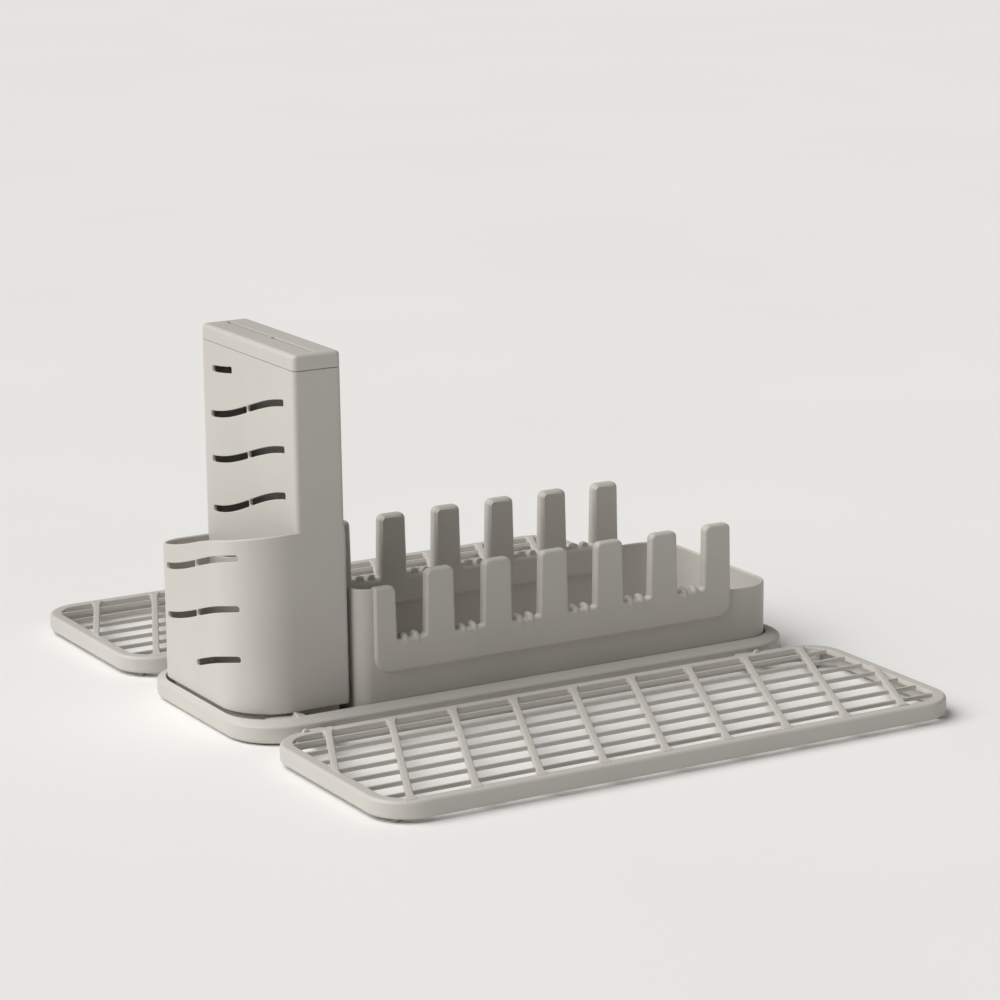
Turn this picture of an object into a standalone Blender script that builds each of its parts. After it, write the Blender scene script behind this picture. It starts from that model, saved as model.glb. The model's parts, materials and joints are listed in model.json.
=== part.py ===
"""A compact modular dish drying rack: a low base tray carries a cutlery caddy with a knife block and a plate
bin, and a grated draining tray folds up on each long side.

Frame: metres, +X along the rack's length, +Y to the back, +Z up. The origin is the middle of the base's
length and depth, on the surface that the feet stand on.
"""

import math

import bmesh
import bpy
from mathutils import Matrix, Vector

MM = 0.001
GAP = 0.3 * MM  # clearance between pieces that touch

# Base tray
BASE_LENGTH = 350 * MM
BASE_DEPTH = 140 * MM
BASE_CORNER = 30 * MM
BASE_HEIGHT = 12.8 * MM
BASE_SHOULDER = 10.2 * MM  # where the outer wall turns into the sloping lip
BASE_UNDERSIDE = 1.0 * MM
WELL_FLOOR = 3.4 * MM
LONG_LIP = 8.6 * MM  # lip width along the front and the back
LEFT_LIP = 2.8 * MM
RIGHT_LIP = 8.6 * MM
WELL_CORNER = 21 * MM

# Cutlery caddy and knife block
CADDY_BOTTOM = 13.2 * MM
CADDY_LEFT = -171.0 * MM
CADDY_FRONT = -56.0 * MM
CADDY_BACK = 55.2 * MM
CADDY_FRONT_CORNER = 30 * MM
CADDY_BACK_CORNER = 18 * MM
# The cup's rim: (y, height), which rises to the front in a gentle wave
CADDY_RIM = [(55.2, 87.6), (34, 90.3), (14, 94.9), (-6, 100.6), (-26, 105.4), (-44.5, 108.8), (-56, 111.2)]
PLINTH_INSET = 4.0 * MM
WALL = 2.0 * MM
BLOCK_LEFT = -138.0 * MM
BLOCK_RIGHT_BOTTOM = -107.9 * MM
BLOCK_RIGHT_TOP = -109.9 * MM
BLOCK_CORNER = 2.6 * MM
BLOCK_TOP = 197.4 * MM
CAP_TOP = 206.2 * MM
KNIFE_SLIT_WIDTH = 2.6 * MM
SLOT_WIDTH = 3.6 * MM
SLOT_WAVE_HEIGHT = 11.2 * MM
SLOT_WAVE_LENGTH = 35 * MM  # per radian

# Plate bin
BIN_LEFT = -105.5 * MM
BIN_RIGHT = 165.0 * MM
BIN_HALF_DEPTH = 61.0 * MM
BIN_BOTTOM = WELL_FLOOR + GAP
BIN_LEFT_CORNER = 8.5 * MM
BIN_RIGHT_CORNER = 20 * MM
LEFT_END_TOP = 76.0 * MM
RIGHT_END_TOP = 42.7 * MM
COMB_FACE = 63.0 * MM  # outer face of the comb panels
COMB_THICKNESS = 7.0 * MM
COMB_SKIN = 1.8 * MM
COMB_LOW = 28.5 * MM
COMB_CORNER = 9 * MM
COMB_LEFT = -96.0 * MM
COMB_RIGHT = 132.0 * MM
REST_LEVEL = 46.3 * MM
BUMP_HEIGHT = 2.6 * MM
POST_TOP = 82.7 * MM
POST_WIDTH = 16.9 * MM
POST_PITCH = 35.74 * MM
POST_COUNT = 7
LAST_POST_X = 122.9 * MM
SHORT_POST_TOP = 76.5 * MM
POST_CORNER = 3.6 * MM
POST_TAPER = 0.6 * MM
POST_FILLET = 1.4 * MM

# Draining trays
TRAY_LENGTH = 352 * MM
TRAY_DEPTH = 134.5 * MM
TRAY_CORNER = 23 * MM
TRAY_TOP = 12.0 * MM
TRAY_UNDERSIDE = 2.4 * MM
TRAY_SHIFT = 2.6 * MM  # the trays sit a little to the right of the base's middle
TRAY_RIM = 7.0 * MM
TRAY_SKIRT = 2.2 * MM
GRATE_BOTTOM = 9.4 * MM
TRAY_OFFSET = 83.4 * MM  # from the rack's centre line to a tray's near edge
SLAT_COUNT = 7
SLAT_PITCH = 16.6 * MM
SLAT_THICKNESS = 1.6 * MM
CROSSBAR_COUNT = 10
CROSSBAR_PITCH = 37.5 * MM
CROSSBAR_WIDTH = 4.2 * MM
CROSSBAR_TOP = 12.6 * MM
CROSSBAR_SLANT = 55.6 * MM  # how far a crossbar runs along X between the long rims
CROSSBAR_FIRST = 140.3 * MM  # where the right-hand crossbar meets the outer rim
# How far along a crossbar, how many times its width there, and how far its top sinks.
CROSSBAR_PATH = [(0, 1.9, 0.8 * MM), (0.04, 1.1, 0.5 * MM), (0.1, 1, 0)]
CROSSBAR_PATH += [(0.9, 1, 0), (0.96, 1.1, 0.5 * MM), (1, 1.9, 0.8 * MM)]

# Hinges between base and trays
HINGE_Y = 76.7 * MM
HINGE_Z = 7.0 * MM
HINGE_RADIUS = 2.4 * MM
HINGE_ARM_ROOT = 0.2 * MM  # how far over the pin's axis an arm's top meets the base
HINGE_LEFT_X = -138 * MM
HINGE_RIGHT_X = 134 * MM
NUB_PLACES = [-153 * MM, 131.4 * MM]  # along the tray's hinged rim
NUB_PROFILE = [(2.6 * MM, -MM), (2.2 * MM, 0.3 * MM), (0.6 * MM, 1.7 * MM)]  # half length, height
HINGE_ARM = 8.0 * MM
HINGE_EAR = 3.5 * MM
HINGE_SIDE_GAP = 0.4 * MM
PIN_RADIUS = 1.2 * MM
PIN_CLEARANCE = 0.06 * MM
PIN_STEPS = 24  # sides of the pins and their bores

# Feet
BASE_FOOT_RADIUS = 6.0 * MM
BASE_FOOT_HEIGHT = 1.8 * MM
TRAY_FOOT_RADIUS = 2.5 * MM
TRAY_FOOT_HEIGHT = 3.0 * MM

FAR = 300 * MM  # beyond every solid, for cutters


def clear_scene():
    for obj in list(bpy.data.objects):
        bpy.data.objects.remove(obj, do_unlink=True)


def make_collections():
    rack = bpy.data.collections.new("dish_drying_rack")
    cutters = bpy.data.collections.new("cutters")
    cutters.hide_render = True
    for collection in (rack, cutters):
        bpy.context.scene.collection.children.link(collection)
    return rack, cutters


def make_material(name, colour, roughness, metallic=0.0):
    material = bpy.data.materials.new(name)
    material.use_nodes = True
    shader = material.node_tree.nodes["Principled BSDF"]
    shader.inputs["Base Color"].default_value = (*colour, 1)
    shader.inputs["Roughness"].default_value = roughness
    shader.inputs["Metallic"].default_value = metallic
    return material


# Outlines are lists of (x, y) points that run anticlockwise.


def arc(centre, radius, start, end, steps):
    """Points on an arc, from one angle in degrees to another."""
    points = []
    for step in range(steps + 1):
        angle = math.radians(start + (end - start) * step / steps)
        points.append((centre[0] + radius * math.cos(angle), centre[1] + radius * math.sin(angle)))
    return points


def rounded_box(x0, x1, y0, y1, radii, steps=6):
    """A rectangle with rounded corners; radii are front left, front right, back right, back left."""
    front_left, front_right, back_right, back_left = radii
    return (
        arc((x0 + front_left, y0 + front_left), front_left, 180, 270, steps)
        + arc((x1 - front_right, y0 + front_right), front_right, 270, 360, steps)
        + arc((x1 - back_right, y1 - back_right), back_right, 0, 90, steps)
        + arc((x0 + back_left, y1 - back_left), back_left, 90, 180, steps)
    )


def centred_box(length, depth, corner, inset=0.0, steps=6):
    half_x, half_y, radius = length / 2 - inset, depth / 2 - inset, corner - inset
    return rounded_box(-half_x, half_x, -half_y, half_y, [radius] * 4, steps)


def mesh_object(name, bm, collection):
    bmesh.ops.recalc_face_normals(bm, faces=bm.faces)
    mesh = bpy.data.meshes.new(name)
    bm.to_mesh(mesh)
    bm.free()
    obj = bpy.data.objects.new(name, mesh)
    collection.objects.link(obj)
    if collection.hide_render:
        obj.display_type = "WIRE"
    return obj


def loft(name, rings, collection, closed=False):
    """A skin over rings of equally many points, capped at both ends, or joined end to start when closed."""
    bm = bmesh.new()
    loops = [[bm.verts.new(point) for point in ring] for ring in rings]
    pairs = list(zip(loops, loops[1:]))
    if closed:
        pairs.append((loops[-1], loops[0]))
    for lower, upper in pairs:
        for i in range(len(lower)):
            bm.faces.new((lower[i - 1], lower[i], upper[i], upper[i - 1]))
    if not closed:
        bm.faces.new(loops[0])
        bm.faces.new(loops[-1])
    return mesh_object(name, bm, collection)


def level(outline, z):
    return [(x, y, z) for x, y in outline]


def prism(name, outlines, low, high, collection, axis="Z"):
    """Outlines, the later ones holes, extruded from low to high along an axis.

    The outlines' own x and y become X and Y for Z, Y and Z for X, and X and Z for Y.
    """
    curve = bpy.data.curves.new(name, "CURVE")
    curve.dimensions = "2D"
    curve.fill_mode = "BOTH"
    curve.extrude = (high - low) / 2
    for outline in outlines:
        spline = curve.splines.new("POLY")
        spline.points.add(len(outline) - 1)
        for point, (x, y) in zip(spline.points, outline):
            point.co = (x, y, 0, 1)
        spline.use_cyclic_u = True
    turn = {
        "Z": Matrix.Identity(4),
        "X": Matrix(((0, 0, 1, 0), (1, 0, 0, 0), (0, 1, 0, 0), (0, 0, 0, 1))),
        "Y": Matrix(((1, 0, 0, 0), (0, 0, -1, 0), (0, 1, 0, 0), (0, 0, 0, 1))),
    }[axis]
    middle = {"Z": Vector((0, 0, 1)), "X": Vector((1, 0, 0)), "Y": Vector((0, 1, 0))}[axis] * (low + high) / 2
    helper = bpy.data.objects.new(name, curve)
    collection.objects.link(helper)
    helper.matrix_world = Matrix.Translation(middle) @ turn
    return as_mesh(helper, collection)


def as_mesh(source, collection):
    """The evaluated object as a plain mesh in world space, which replaces it."""
    name = source.name
    bpy.context.view_layer.update()
    graph = bpy.context.evaluated_depsgraph_get()
    mesh = bpy.data.meshes.new_from_object(source.evaluated_get(graph))
    mesh.transform(source.matrix_world)
    bm = bmesh.new()
    bm.from_mesh(mesh)
    bmesh.ops.remove_doubles(bm, verts=bm.verts, dist=0.001 * MM)
    bmesh.ops.recalc_face_normals(bm, faces=bm.faces)
    bm.to_mesh(mesh)
    bm.free()
    bpy.data.objects.remove(source, do_unlink=True)
    mesh.name = name
    obj = bpy.data.objects.new(name, mesh)
    collection.objects.link(obj)
    if collection.hide_render:
        obj.display_type = "WIRE"
    return obj


def combine(target, tools, operation, collection):
    """Applies one Boolean after another to the target, and removes the tools."""
    for tool in tools:
        modifier = target.modifiers.new("cut", "BOOLEAN")
        modifier.object = tool
        modifier.operation = operation
        modifier.solver = "EXACT"
    result = as_mesh(target, collection)
    for tool in tools:
        bpy.data.objects.remove(tool, do_unlink=True)
    return result


def finish(obj, material):
    obj.data.materials.clear()
    obj.data.materials.append(material)
    obj.data.shade_smooth()
    obj.data.set_sharp_from_angle(angle=math.radians(35))
    return obj


def set_origin(obj, point):
    """Moves the origin to a point and leaves the shape where it is."""
    obj.data.transform(Matrix.Translation(-Vector(point)))
    obj.location = point


def box(name, x0, x1, y0, y1, z0, z1, collection):
    bm = bmesh.new()
    size = Matrix.Diagonal((x1 - x0, y1 - y0, z1 - z0, 1))
    middle = Matrix.Translation(((x0 + x1) / 2, (y0 + y1) / 2, (z0 + z1) / 2))
    bmesh.ops.create_cube(bm, size=1, matrix=middle @ size)
    return mesh_object(name, bm, collection)


def cylinder(name, centre, radius, length, collection, steps, axis="Z"):
    """A cylinder about its centre along Z or X."""
    turn = Matrix.Rotation(math.pi / 2, 4, "Y") if axis == "X" else Matrix.Identity(4)
    place = Matrix.Translation(centre) @ turn
    bm = bmesh.new()
    bmesh.ops.create_cone(
        bm, cap_ends=True, segments=steps, radius1=radius, radius2=radius, depth=length, matrix=place
    )
    return mesh_object(name, bm, collection)


def disc(name, x, y, radius, z0, z1, collection, steps=24):
    return cylinder(name, (x, y, (z0 + z1) / 2), radius, z1 - z0, collection, steps)


# Base tray


def base_ring(inset, z):
    return level(centred_box(BASE_LENGTH, BASE_DEPTH, BASE_CORNER, inset), z)


def well_ring(grow, corner, z):
    """The well's outline, grown outwards, at a height."""
    return level(
        rounded_box(
            -BASE_LENGTH / 2 + LEFT_LIP - grow,
            BASE_LENGTH / 2 - RIGHT_LIP + grow,
            -BASE_DEPTH / 2 + LONG_LIP - grow,
            BASE_DEPTH / 2 - LONG_LIP + grow,
            [BASE_CORNER - LEFT_LIP + grow, corner, corner, BASE_CORNER - LEFT_LIP + grow],
        ),
        z,
    )


def make_base(rack, cutters):
    rings = [
        base_ring(2.2 * MM, BASE_UNDERSIDE),
        base_ring(0.7 * MM, BASE_UNDERSIDE + 0.9 * MM),
        base_ring(0.0, BASE_UNDERSIDE + 2.6 * MM),
        base_ring(0.0, BASE_SHOULDER - 0.8 * MM),
        base_ring(0.6 * MM, BASE_SHOULDER + 0.4 * MM),
        well_ring(0.8 * MM, WELL_CORNER + 0.8 * MM, BASE_HEIGHT),
        well_ring(0.0, WELL_CORNER, BASE_HEIGHT - 0.5 * MM),
        well_ring(-0.4 * MM, WELL_CORNER - 0.4 * MM, WELL_FLOOR),
    ]
    base = loft("base_tray", rings, rack)
    base = combine(base, base_ledge(cutters) + hinge_arms(cutters), "UNION", rack)
    holes = foot_pockets(cutters) + hinge_bores(cutters)
    return combine(base, holes, "DIFFERENCE", rack)


def base_ledge(cutters):
    """A ledge inside the front lip that the caddy's rounded corner stands over, ending in a small tab."""
    inner = -BASE_DEPTH / 2 + LONG_LIP
    caddy_clear = CADDY_FRONT + PLINTH_INSET - 1.0 * MM
    ledge = box(
        "ledge", -158 * MM, -139 * MM, inner - 2 * MM, caddy_clear,
        WELL_FLOOR - MM, BASE_HEIGHT - 0.4 * MM, cutters
    )
    tab_profile = [
        (inner - 2.5 * MM, WELL_FLOOR - 1.5 * MM),
        (caddy_clear + 0.3 * MM, WELL_FLOOR - 1.5 * MM),
        (caddy_clear + 0.3 * MM, BASE_HEIGHT - 0.7 * MM),
        (CADDY_FRONT - 0.8 * MM, BASE_HEIGHT - 0.7 * MM),
        (CADDY_FRONT - 1.2 * MM, BASE_HEIGHT + 1.6 * MM),
        (inner - 1.0 * MM, BASE_HEIGHT + 0.6 * MM),
        (inner - 2.5 * MM, BASE_HEIGHT - 0.6 * MM),
    ]
    tab = prism("tab", [tab_profile], -143 * MM, -138 * MM, cutters, "X")
    return [ledge, tab]


def hinge_places():
    """The four hinges: side of the rack (-1 front, 1 back) and the hinge's middle along X."""
    return [(side, -side * x) for side in (-1, 1) for x in (HINGE_LEFT_X, HINGE_RIGHT_X)]


def knuckle(name, side, root, x0, x1, cutters):
    """A tongue from a root, given by its distance from the centre line and its top, to a round end."""
    root_y, root_top = root
    outward = 1 if HINGE_Y > root_y else -1
    turn = arc((0, 0), HINGE_RADIUS, -90, 90, 8)
    profile = [(HINGE_Y + outward * y, HINGE_Z + z) for y, z in turn]
    profile += [(root_y, root_top), (root_y, HINGE_Z - HINGE_RADIUS)]
    return prism(name, [[(side * y, z) for y, z in profile]], x0, x1, cutters, "X")


def hinge_arms(cutters):
    arms = []
    for side, x in hinge_places():
        root = (BASE_DEPTH / 2 - 2 * MM, HINGE_Z + HINGE_ARM_ROOT)
        arms.append(knuckle("arm", side, root, x - HINGE_ARM / 2, x + HINGE_ARM / 2, cutters))
    return arms


def hinge_bore(x, side, cutters):
    centre = (x, side * HINGE_Y, HINGE_Z)
    return cylinder("bore", centre, PIN_RADIUS + PIN_CLEARANCE, 30 * MM, cutters, PIN_STEPS, "X")


def hinge_bores(cutters):
    return [hinge_bore(x, side, cutters) for side, x in hinge_places()]


def base_foot_places():
    x, y = BASE_LENGTH / 2 - 22 * MM, BASE_DEPTH / 2 - 20 * MM
    return [(-x, -y), (x, -y), (x, y), (-x, y)]


def foot_pockets(cutters):
    top = BASE_FOOT_HEIGHT + GAP
    return [disc("pocket", x, y, BASE_FOOT_RADIUS + GAP, -MM, top, cutters) for x, y in base_foot_places()]


def make_pins(rack, material):
    length = HINGE_ARM + 2 * (HINGE_SIDE_GAP + HINGE_EAR)
    ends = {-1: "front", 1: "back"}
    for side, x in hinge_places():
        place = "left" if x < 0 else "right"
        name = f"{ends[side]}_{place}_hinge_pin"
        centre = (x, side * HINGE_Y, HINGE_Z)
        finish(cylinder(name, centre, PIN_RADIUS, length, rack, PIN_STEPS, "X"), material)


# Cutlery caddy and knife block


def caddy_rim(y):
    """Height of the cup's rim at a y, straight between the listed points."""
    for (back, high), (front, higher) in zip(CADDY_RIM, CADDY_RIM[1:]):
        if y / MM >= front:
            break
    t = (back - y / MM) / (back - front)
    return (high + (higher - high) * min(max(t, 0), 1)) * MM


def rim_trim(cutters):
    """Everything above the cup's rim."""
    steps = 14
    low, high = CADDY_FRONT - MM, CADDY_BACK + MM
    curve = []
    for step in range(steps + 1):
        y = low + (high - low) * step / steps
        curve.append((y, caddy_rim(min(max(y, CADDY_FRONT), CADDY_BACK))))
    return prism("rim_trim", [curve + [(high, FAR), (low, FAR)]], -FAR, 0, cutters, "X")


def cup_outline(inset, right):
    corners = [CADDY_FRONT_CORNER - inset, 1.0 * MM, 1.0 * MM, CADDY_BACK_CORNER - inset]
    return rounded_box(CADDY_LEFT + inset, right, CADDY_FRONT + inset, CADDY_BACK - inset, corners, 8)


def block_outline(right, inset=0.0):
    corners = [max(BLOCK_CORNER - inset, 0.8 * MM)] * 4
    return rounded_box(BLOCK_LEFT + inset, right - inset, CADDY_FRONT + inset, CADDY_BACK - inset, corners, 4)


def wavy_slot(start, end, height, cutters, x0, x1):
    """A slot along Y from one y to another, whose middle follows a wave through a height at y = 0."""
    steps = 8
    half = SLOT_WIDTH / 2
    centre = []
    for step in range(steps + 1):
        y = start + (end - start) * step / steps
        centre.append((y, height - SLOT_WAVE_HEIGHT * math.sin((y + MM) / SLOT_WAVE_LENGTH)))
    upper = [(y, z + half) for y, z in centre]
    lower = [(y, z - half) for y, z in centre]
    tip = 1.2 * MM
    end_cap = [(end - tip, centre[-1][1] + half * 0.55), (end - tip, centre[-1][1] - half * 0.55)]
    start_cap = [(start + tip, centre[0][1] - half * 0.55), (start + tip, centre[0][1] + half * 0.55)]
    return prism("slot", [upper + end_cap + lower[::-1] + start_cap], x0, x1, cutters, "X")


def cup_slots(cutters):
    """Drain slots in the cup's left wall, the upper two rows split by a narrow bridge."""
    slots = []
    for row, height in enumerate((87.6 * MM, 60.0 * MM, 32.2 * MM)):
        slots.append(wavy_slot(-1.1 * MM, -40.0 * MM, height, cutters, -180 * MM, -155 * MM))
        if row < 2:
            slots.append(wavy_slot(36.0 * MM, 2.6 * MM, height, cutters, -180 * MM, -160 * MM))
    return slots


def block_slots(cutters):
    """Drain slots in the knife block's left wall, above and inside the cup."""
    slots = [wavy_slot(41 * MM, 19 * MM, 188.5 * MM, cutters, -145 * MM, -130 * MM)]
    for height in (167.8 * MM, 142.5 * MM, 116 * MM, 90 * MM, 63 * MM, 36 * MM):
        slots.append(wavy_slot(44 * MM, 3.1 * MM, height, cutters, -145 * MM, -130 * MM))
        slots.append(wavy_slot(-2.3 * MM, -42 * MM, height, cutters, -145 * MM, -130 * MM))
    return slots


def make_caddy(rack, cutters):
    cup = prism("utensil_caddy", [cup_outline(0, -120 * MM)], CADDY_BOTTOM, 120 * MM, rack)
    cup = combine(cup, [rim_trim(cutters)], "DIFFERENCE", rack)
    plinth = loft(
        "plinth",
        [
            level(cup_outline(PLINTH_INSET, BLOCK_RIGHT_BOTTOM - PLINTH_INSET), WELL_FLOOR + GAP),
            level(cup_outline(PLINTH_INSET, BLOCK_RIGHT_BOTTOM - PLINTH_INSET), CADDY_BOTTOM + MM),
        ],
        cutters,
    )
    profile = [
        (BLOCK_RIGHT_BOTTOM, CADDY_BOTTOM),
        (BLOCK_RIGHT_BOTTOM - 0.7 * MM, 107 * MM),
        (BLOCK_RIGHT_TOP + 0.7 * MM, 112 * MM),
        (BLOCK_RIGHT_TOP, BLOCK_TOP),
    ]
    block = loft("block", [level(block_outline(x), z) for x, z in profile], cutters)
    caddy = combine(cup, [plinth, block], "UNION", rack)
    floor = WELL_FLOOR + GAP + WALL
    inner_left = BLOCK_LEFT - WALL
    shoulder = CADDY_BOTTOM + WALL
    cup_low = rounded_box(
        CADDY_LEFT + PLINTH_INSET + WALL, inner_left, CADDY_FRONT + PLINTH_INSET + WALL,
        CADDY_BACK - PLINTH_INSET - WALL,
        [CADDY_FRONT_CORNER - PLINTH_INSET - WALL, 0.9 * MM, 0.9 * MM, 12 * MM], 8,
    )
    cup_high = rounded_box(
        CADDY_LEFT + WALL, inner_left, CADDY_FRONT + WALL, CADDY_BACK - WALL,
        [CADDY_FRONT_CORNER - WALL, 0.9 * MM, 0.9 * MM, CADDY_BACK_CORNER - WALL], 8,
    )
    cup_hollow = loft(
        "cup_hollow",
        [
            level(cup_low, floor),
            level(cup_low, shoulder),
            level(cup_high, shoulder + 4 * MM),
            level(cup_high, FAR),
        ],
        cutters,
    )
    inset = PLINTH_INSET + WALL
    low = rounded_box(
        BLOCK_LEFT + WALL, BLOCK_RIGHT_BOTTOM - inset, CADDY_FRONT + inset, CADDY_BACK - inset,
        [1 * MM] * 4, 4,
    )
    block_hollow = loft(
        "block_hollow",
        [
            level(low, floor),
            level(low, shoulder),
            level(block_outline(BLOCK_RIGHT_BOTTOM, WALL), shoulder + 4 * MM),
            level(block_outline(BLOCK_RIGHT_BOTTOM - 0.7 * MM, WALL), 105 * MM),
            level(block_outline(BLOCK_RIGHT_TOP, WALL), 112 * MM),
            level(block_outline(BLOCK_RIGHT_TOP, WALL), FAR),
        ],
        cutters,
    )
    holes = []
    for x, y in [(x, y) for x in (-153 * MM, -124 * MM) for y in (-30 * MM, 0, 30 * MM)]:
        slot = rounded_box(x - 7 * MM, x + 7 * MM, y - 2 * MM, y + 2 * MM, [1.9 * MM] * 4, 3)
        holes.append(prism("drain", [slot], 0, floor + MM, cutters))
    tools = [cup_hollow, block_hollow] + holes + cup_slots(cutters) + block_slots(cutters)
    return combine(caddy, tools, "DIFFERENCE", rack)


def make_cap(rack, cutters):
    """The block's cap: a rounded lid with a plug that fits inside the block, and two slits for knives."""
    low = BLOCK_TOP + GAP
    rings = [
        level(block_outline(BLOCK_RIGHT_TOP), low),
        level(block_outline(BLOCK_RIGHT_TOP), CAP_TOP - 1.8 * MM),
        level(block_outline(BLOCK_RIGHT_TOP, 0.5 * MM), CAP_TOP - 0.6 * MM),
        level(block_outline(BLOCK_RIGHT_TOP, 1.6 * MM), CAP_TOP),
    ]
    cap = loft("block_cap", rings, rack)
    plug = prism("plug", [block_outline(BLOCK_RIGHT_TOP, WALL + GAP)], BLOCK_TOP - 5 * MM, low + MM, cutters)
    cap = combine(cap, [plug], "UNION", rack)
    inside = block_outline(BLOCK_RIGHT_TOP, WALL + GAP + 1.6 * MM)
    hollow = prism("hollow", [inside], 0, CAP_TOP - 2.4 * MM, cutters)
    middle = (BLOCK_LEFT + BLOCK_RIGHT_TOP) / 2
    slits = []
    for y0, y1 in ((-50.0 * MM, -3.6 * MM), (0.4 * MM, 49.5 * MM)):
        slits.append(
            box("slit", middle - KNIFE_SLIT_WIDTH / 2, middle + KNIFE_SLIT_WIDTH / 2, y0, y1, 0, FAR, cutters)
        )
    return combine(cap, [hollow] + slits, "DIFFERENCE", rack)


# Plate bin


def post_places():
    """(left, right, top) of each post, from the left; the first is narrower and shorter."""
    posts = []
    for index in range(POST_COUNT):
        x = LAST_POST_X - (POST_COUNT - 1 - index) * POST_PITCH
        posts.append((x - POST_WIDTH / 2, x + POST_WIDTH / 2, POST_TOP))
    posts[0] = (COMB_LEFT, posts[0][1], SHORT_POST_TOP)
    return posts


def comb_outline(inset, low):
    """The comb in X and Z: posts with rounded tops, and two bumps on each rest between them."""
    left, right = COMB_LEFT + inset, COMB_RIGHT - inset
    lower_corner = COMB_CORNER - inset
    points = arc((left + lower_corner, low + lower_corner), lower_corner, 180, 270, 4)
    points += arc((right - lower_corner, low + lower_corner), lower_corner, 270, 360, 4)
    posts = post_places()
    taper = POST_TAPER
    rest = REST_LEVEL - inset
    corner = POST_CORNER - inset
    for index in reversed(range(len(posts))):
        x0, x1, top = posts[index][0] + inset, posts[index][1] - inset, posts[index][2] - inset
        last = index == len(posts) - 1
        foot = [(x1 + taper + POST_FILLET, rest), (x1 + taper, rest + POST_FILLET)]
        points += [(right, rest)] if last else foot
        points += arc((x1 - corner, top - corner), corner, 0, 90, 3)
        points += arc((x0 + corner, top - corner), corner, 90, 180, 3)
        if index == 0:
            continue
        points += [(x0 - taper, rest + POST_FILLET), (x0 - taper - POST_FILLET, rest)]
        if inset == 0:
            gap_middle = (posts[index - 1][1] + posts[index][0]) / 2
            for side in (1, -1):
                x = gap_middle + side * 3.5 * MM
                points += arc((x, rest), BUMP_HEIGHT, 0, 180, 5)
    return points


def make_bin(rack, cutters):
    def outline(inset, steps=6):
        corners = [BIN_LEFT_CORNER, BIN_RIGHT_CORNER, BIN_RIGHT_CORNER, BIN_LEFT_CORNER]
        return rounded_box(
            BIN_LEFT + inset, BIN_RIGHT - inset, -BIN_HALF_DEPTH + inset, BIN_HALF_DEPTH - inset,
            [corner - inset for corner in corners], steps,
        )

    shell = loft(
        "plate_bin",
        [
            level(outline(1.2 * MM), BIN_BOTTOM),
            level(outline(0), BIN_BOTTOM + 1.6 * MM),
            level(outline(0), LEFT_END_TOP),
            level(outline(WALL), LEFT_END_TOP),
            level(outline(WALL), BIN_BOTTOM + 3.2 * MM),
            level(outline(WALL + MM), BIN_BOTTOM + WALL),
        ],
        rack,
    )
    trims = [
        box("rest_trim", COMB_LEFT + MM, COMB_RIGHT - MM, -FAR, FAR, REST_LEVEL - 2 * MM, FAR, cutters),
        box("end_trim", COMB_RIGHT - 2 * MM, FAR, -FAR, FAR, RIGHT_END_TOP, FAR, cutters),
    ]
    shell = combine(shell, trims, "DIFFERENCE", rack)
    combs, cavities = [], []
    for side in (-1, 1):
        inner, outer = COMB_FACE - COMB_THICKNESS, COMB_FACE
        solid = sorted((side * inner, side * outer))
        combs.append(prism("comb", [comb_outline(0, COMB_LOW)], *solid, cutters, "Y"))
        hollow = sorted((side * (inner + COMB_SKIN), side * (outer - COMB_SKIN)))
        cavities.append(
            prism("comb_hollow", [comb_outline(COMB_SKIN, COMB_LOW + COMB_SKIN)], *hollow, cutters, "Y")
        )
        opening = sorted((side * (inner + COMB_SKIN), side * (BIN_HALF_DEPTH - WALL - 0.1 * MM)))
        cavities.append(
            box("comb_mouth", COMB_LEFT + 12 * MM, COMB_RIGHT - 12 * MM, *opening,
                COMB_LOW - MM, COMB_LOW + 4 * MM, cutters)
        )
    shell = combine(shell, combs, "UNION", rack)
    drains = []
    for index in range(6):
        x = -75 * MM + index * 42 * MM
        slot = rounded_box(x - 2 * MM, x + 2 * MM, -30 * MM, 30 * MM, [1.9 * MM] * 4, 3)
        drains.append(prism("drain", [slot], 0, BIN_BOTTOM + 5 * MM, cutters))
    return combine(shell, cavities + drains, "DIFFERENCE", rack)


# Draining trays, modelled about the tray's own centre and then placed


def tray_ring(inset, z):
    return level(centred_box(TRAY_LENGTH, TRAY_DEPTH, TRAY_CORNER, inset), z)


def make_crossbar(index, cutters):
    """A straight slanted bar with a nearly flat top, which sinks and widens where it meets each rim."""
    half = CROSSBAR_WIDTH / 2
    low, shoulder = GRATE_BOTTOM + 0.4 * MM, CROSSBAR_TOP - 0.9 * MM
    rings = []
    for t, widening, sink in CROSSBAR_PATH:
        y = (t - 0.5) * (TRAY_DEPTH - 2 * (TRAY_RIM - 1.5 * MM))
        x = CROSSBAR_FIRST - index * CROSSBAR_PITCH + CROSSBAR_SLANT * t
        wide, narrow = half * widening, half * widening * 0.7
        rings.append([
            (x - wide, y, low), (x + wide, y, low), (x + wide, y, shoulder - sink),
            (x + narrow, y, CROSSBAR_TOP - sink), (x - narrow, y, CROSSBAR_TOP - sink),
            (x - wide, y, shoulder - sink),
        ])
    return loft("crossbar", rings, cutters)


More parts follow.
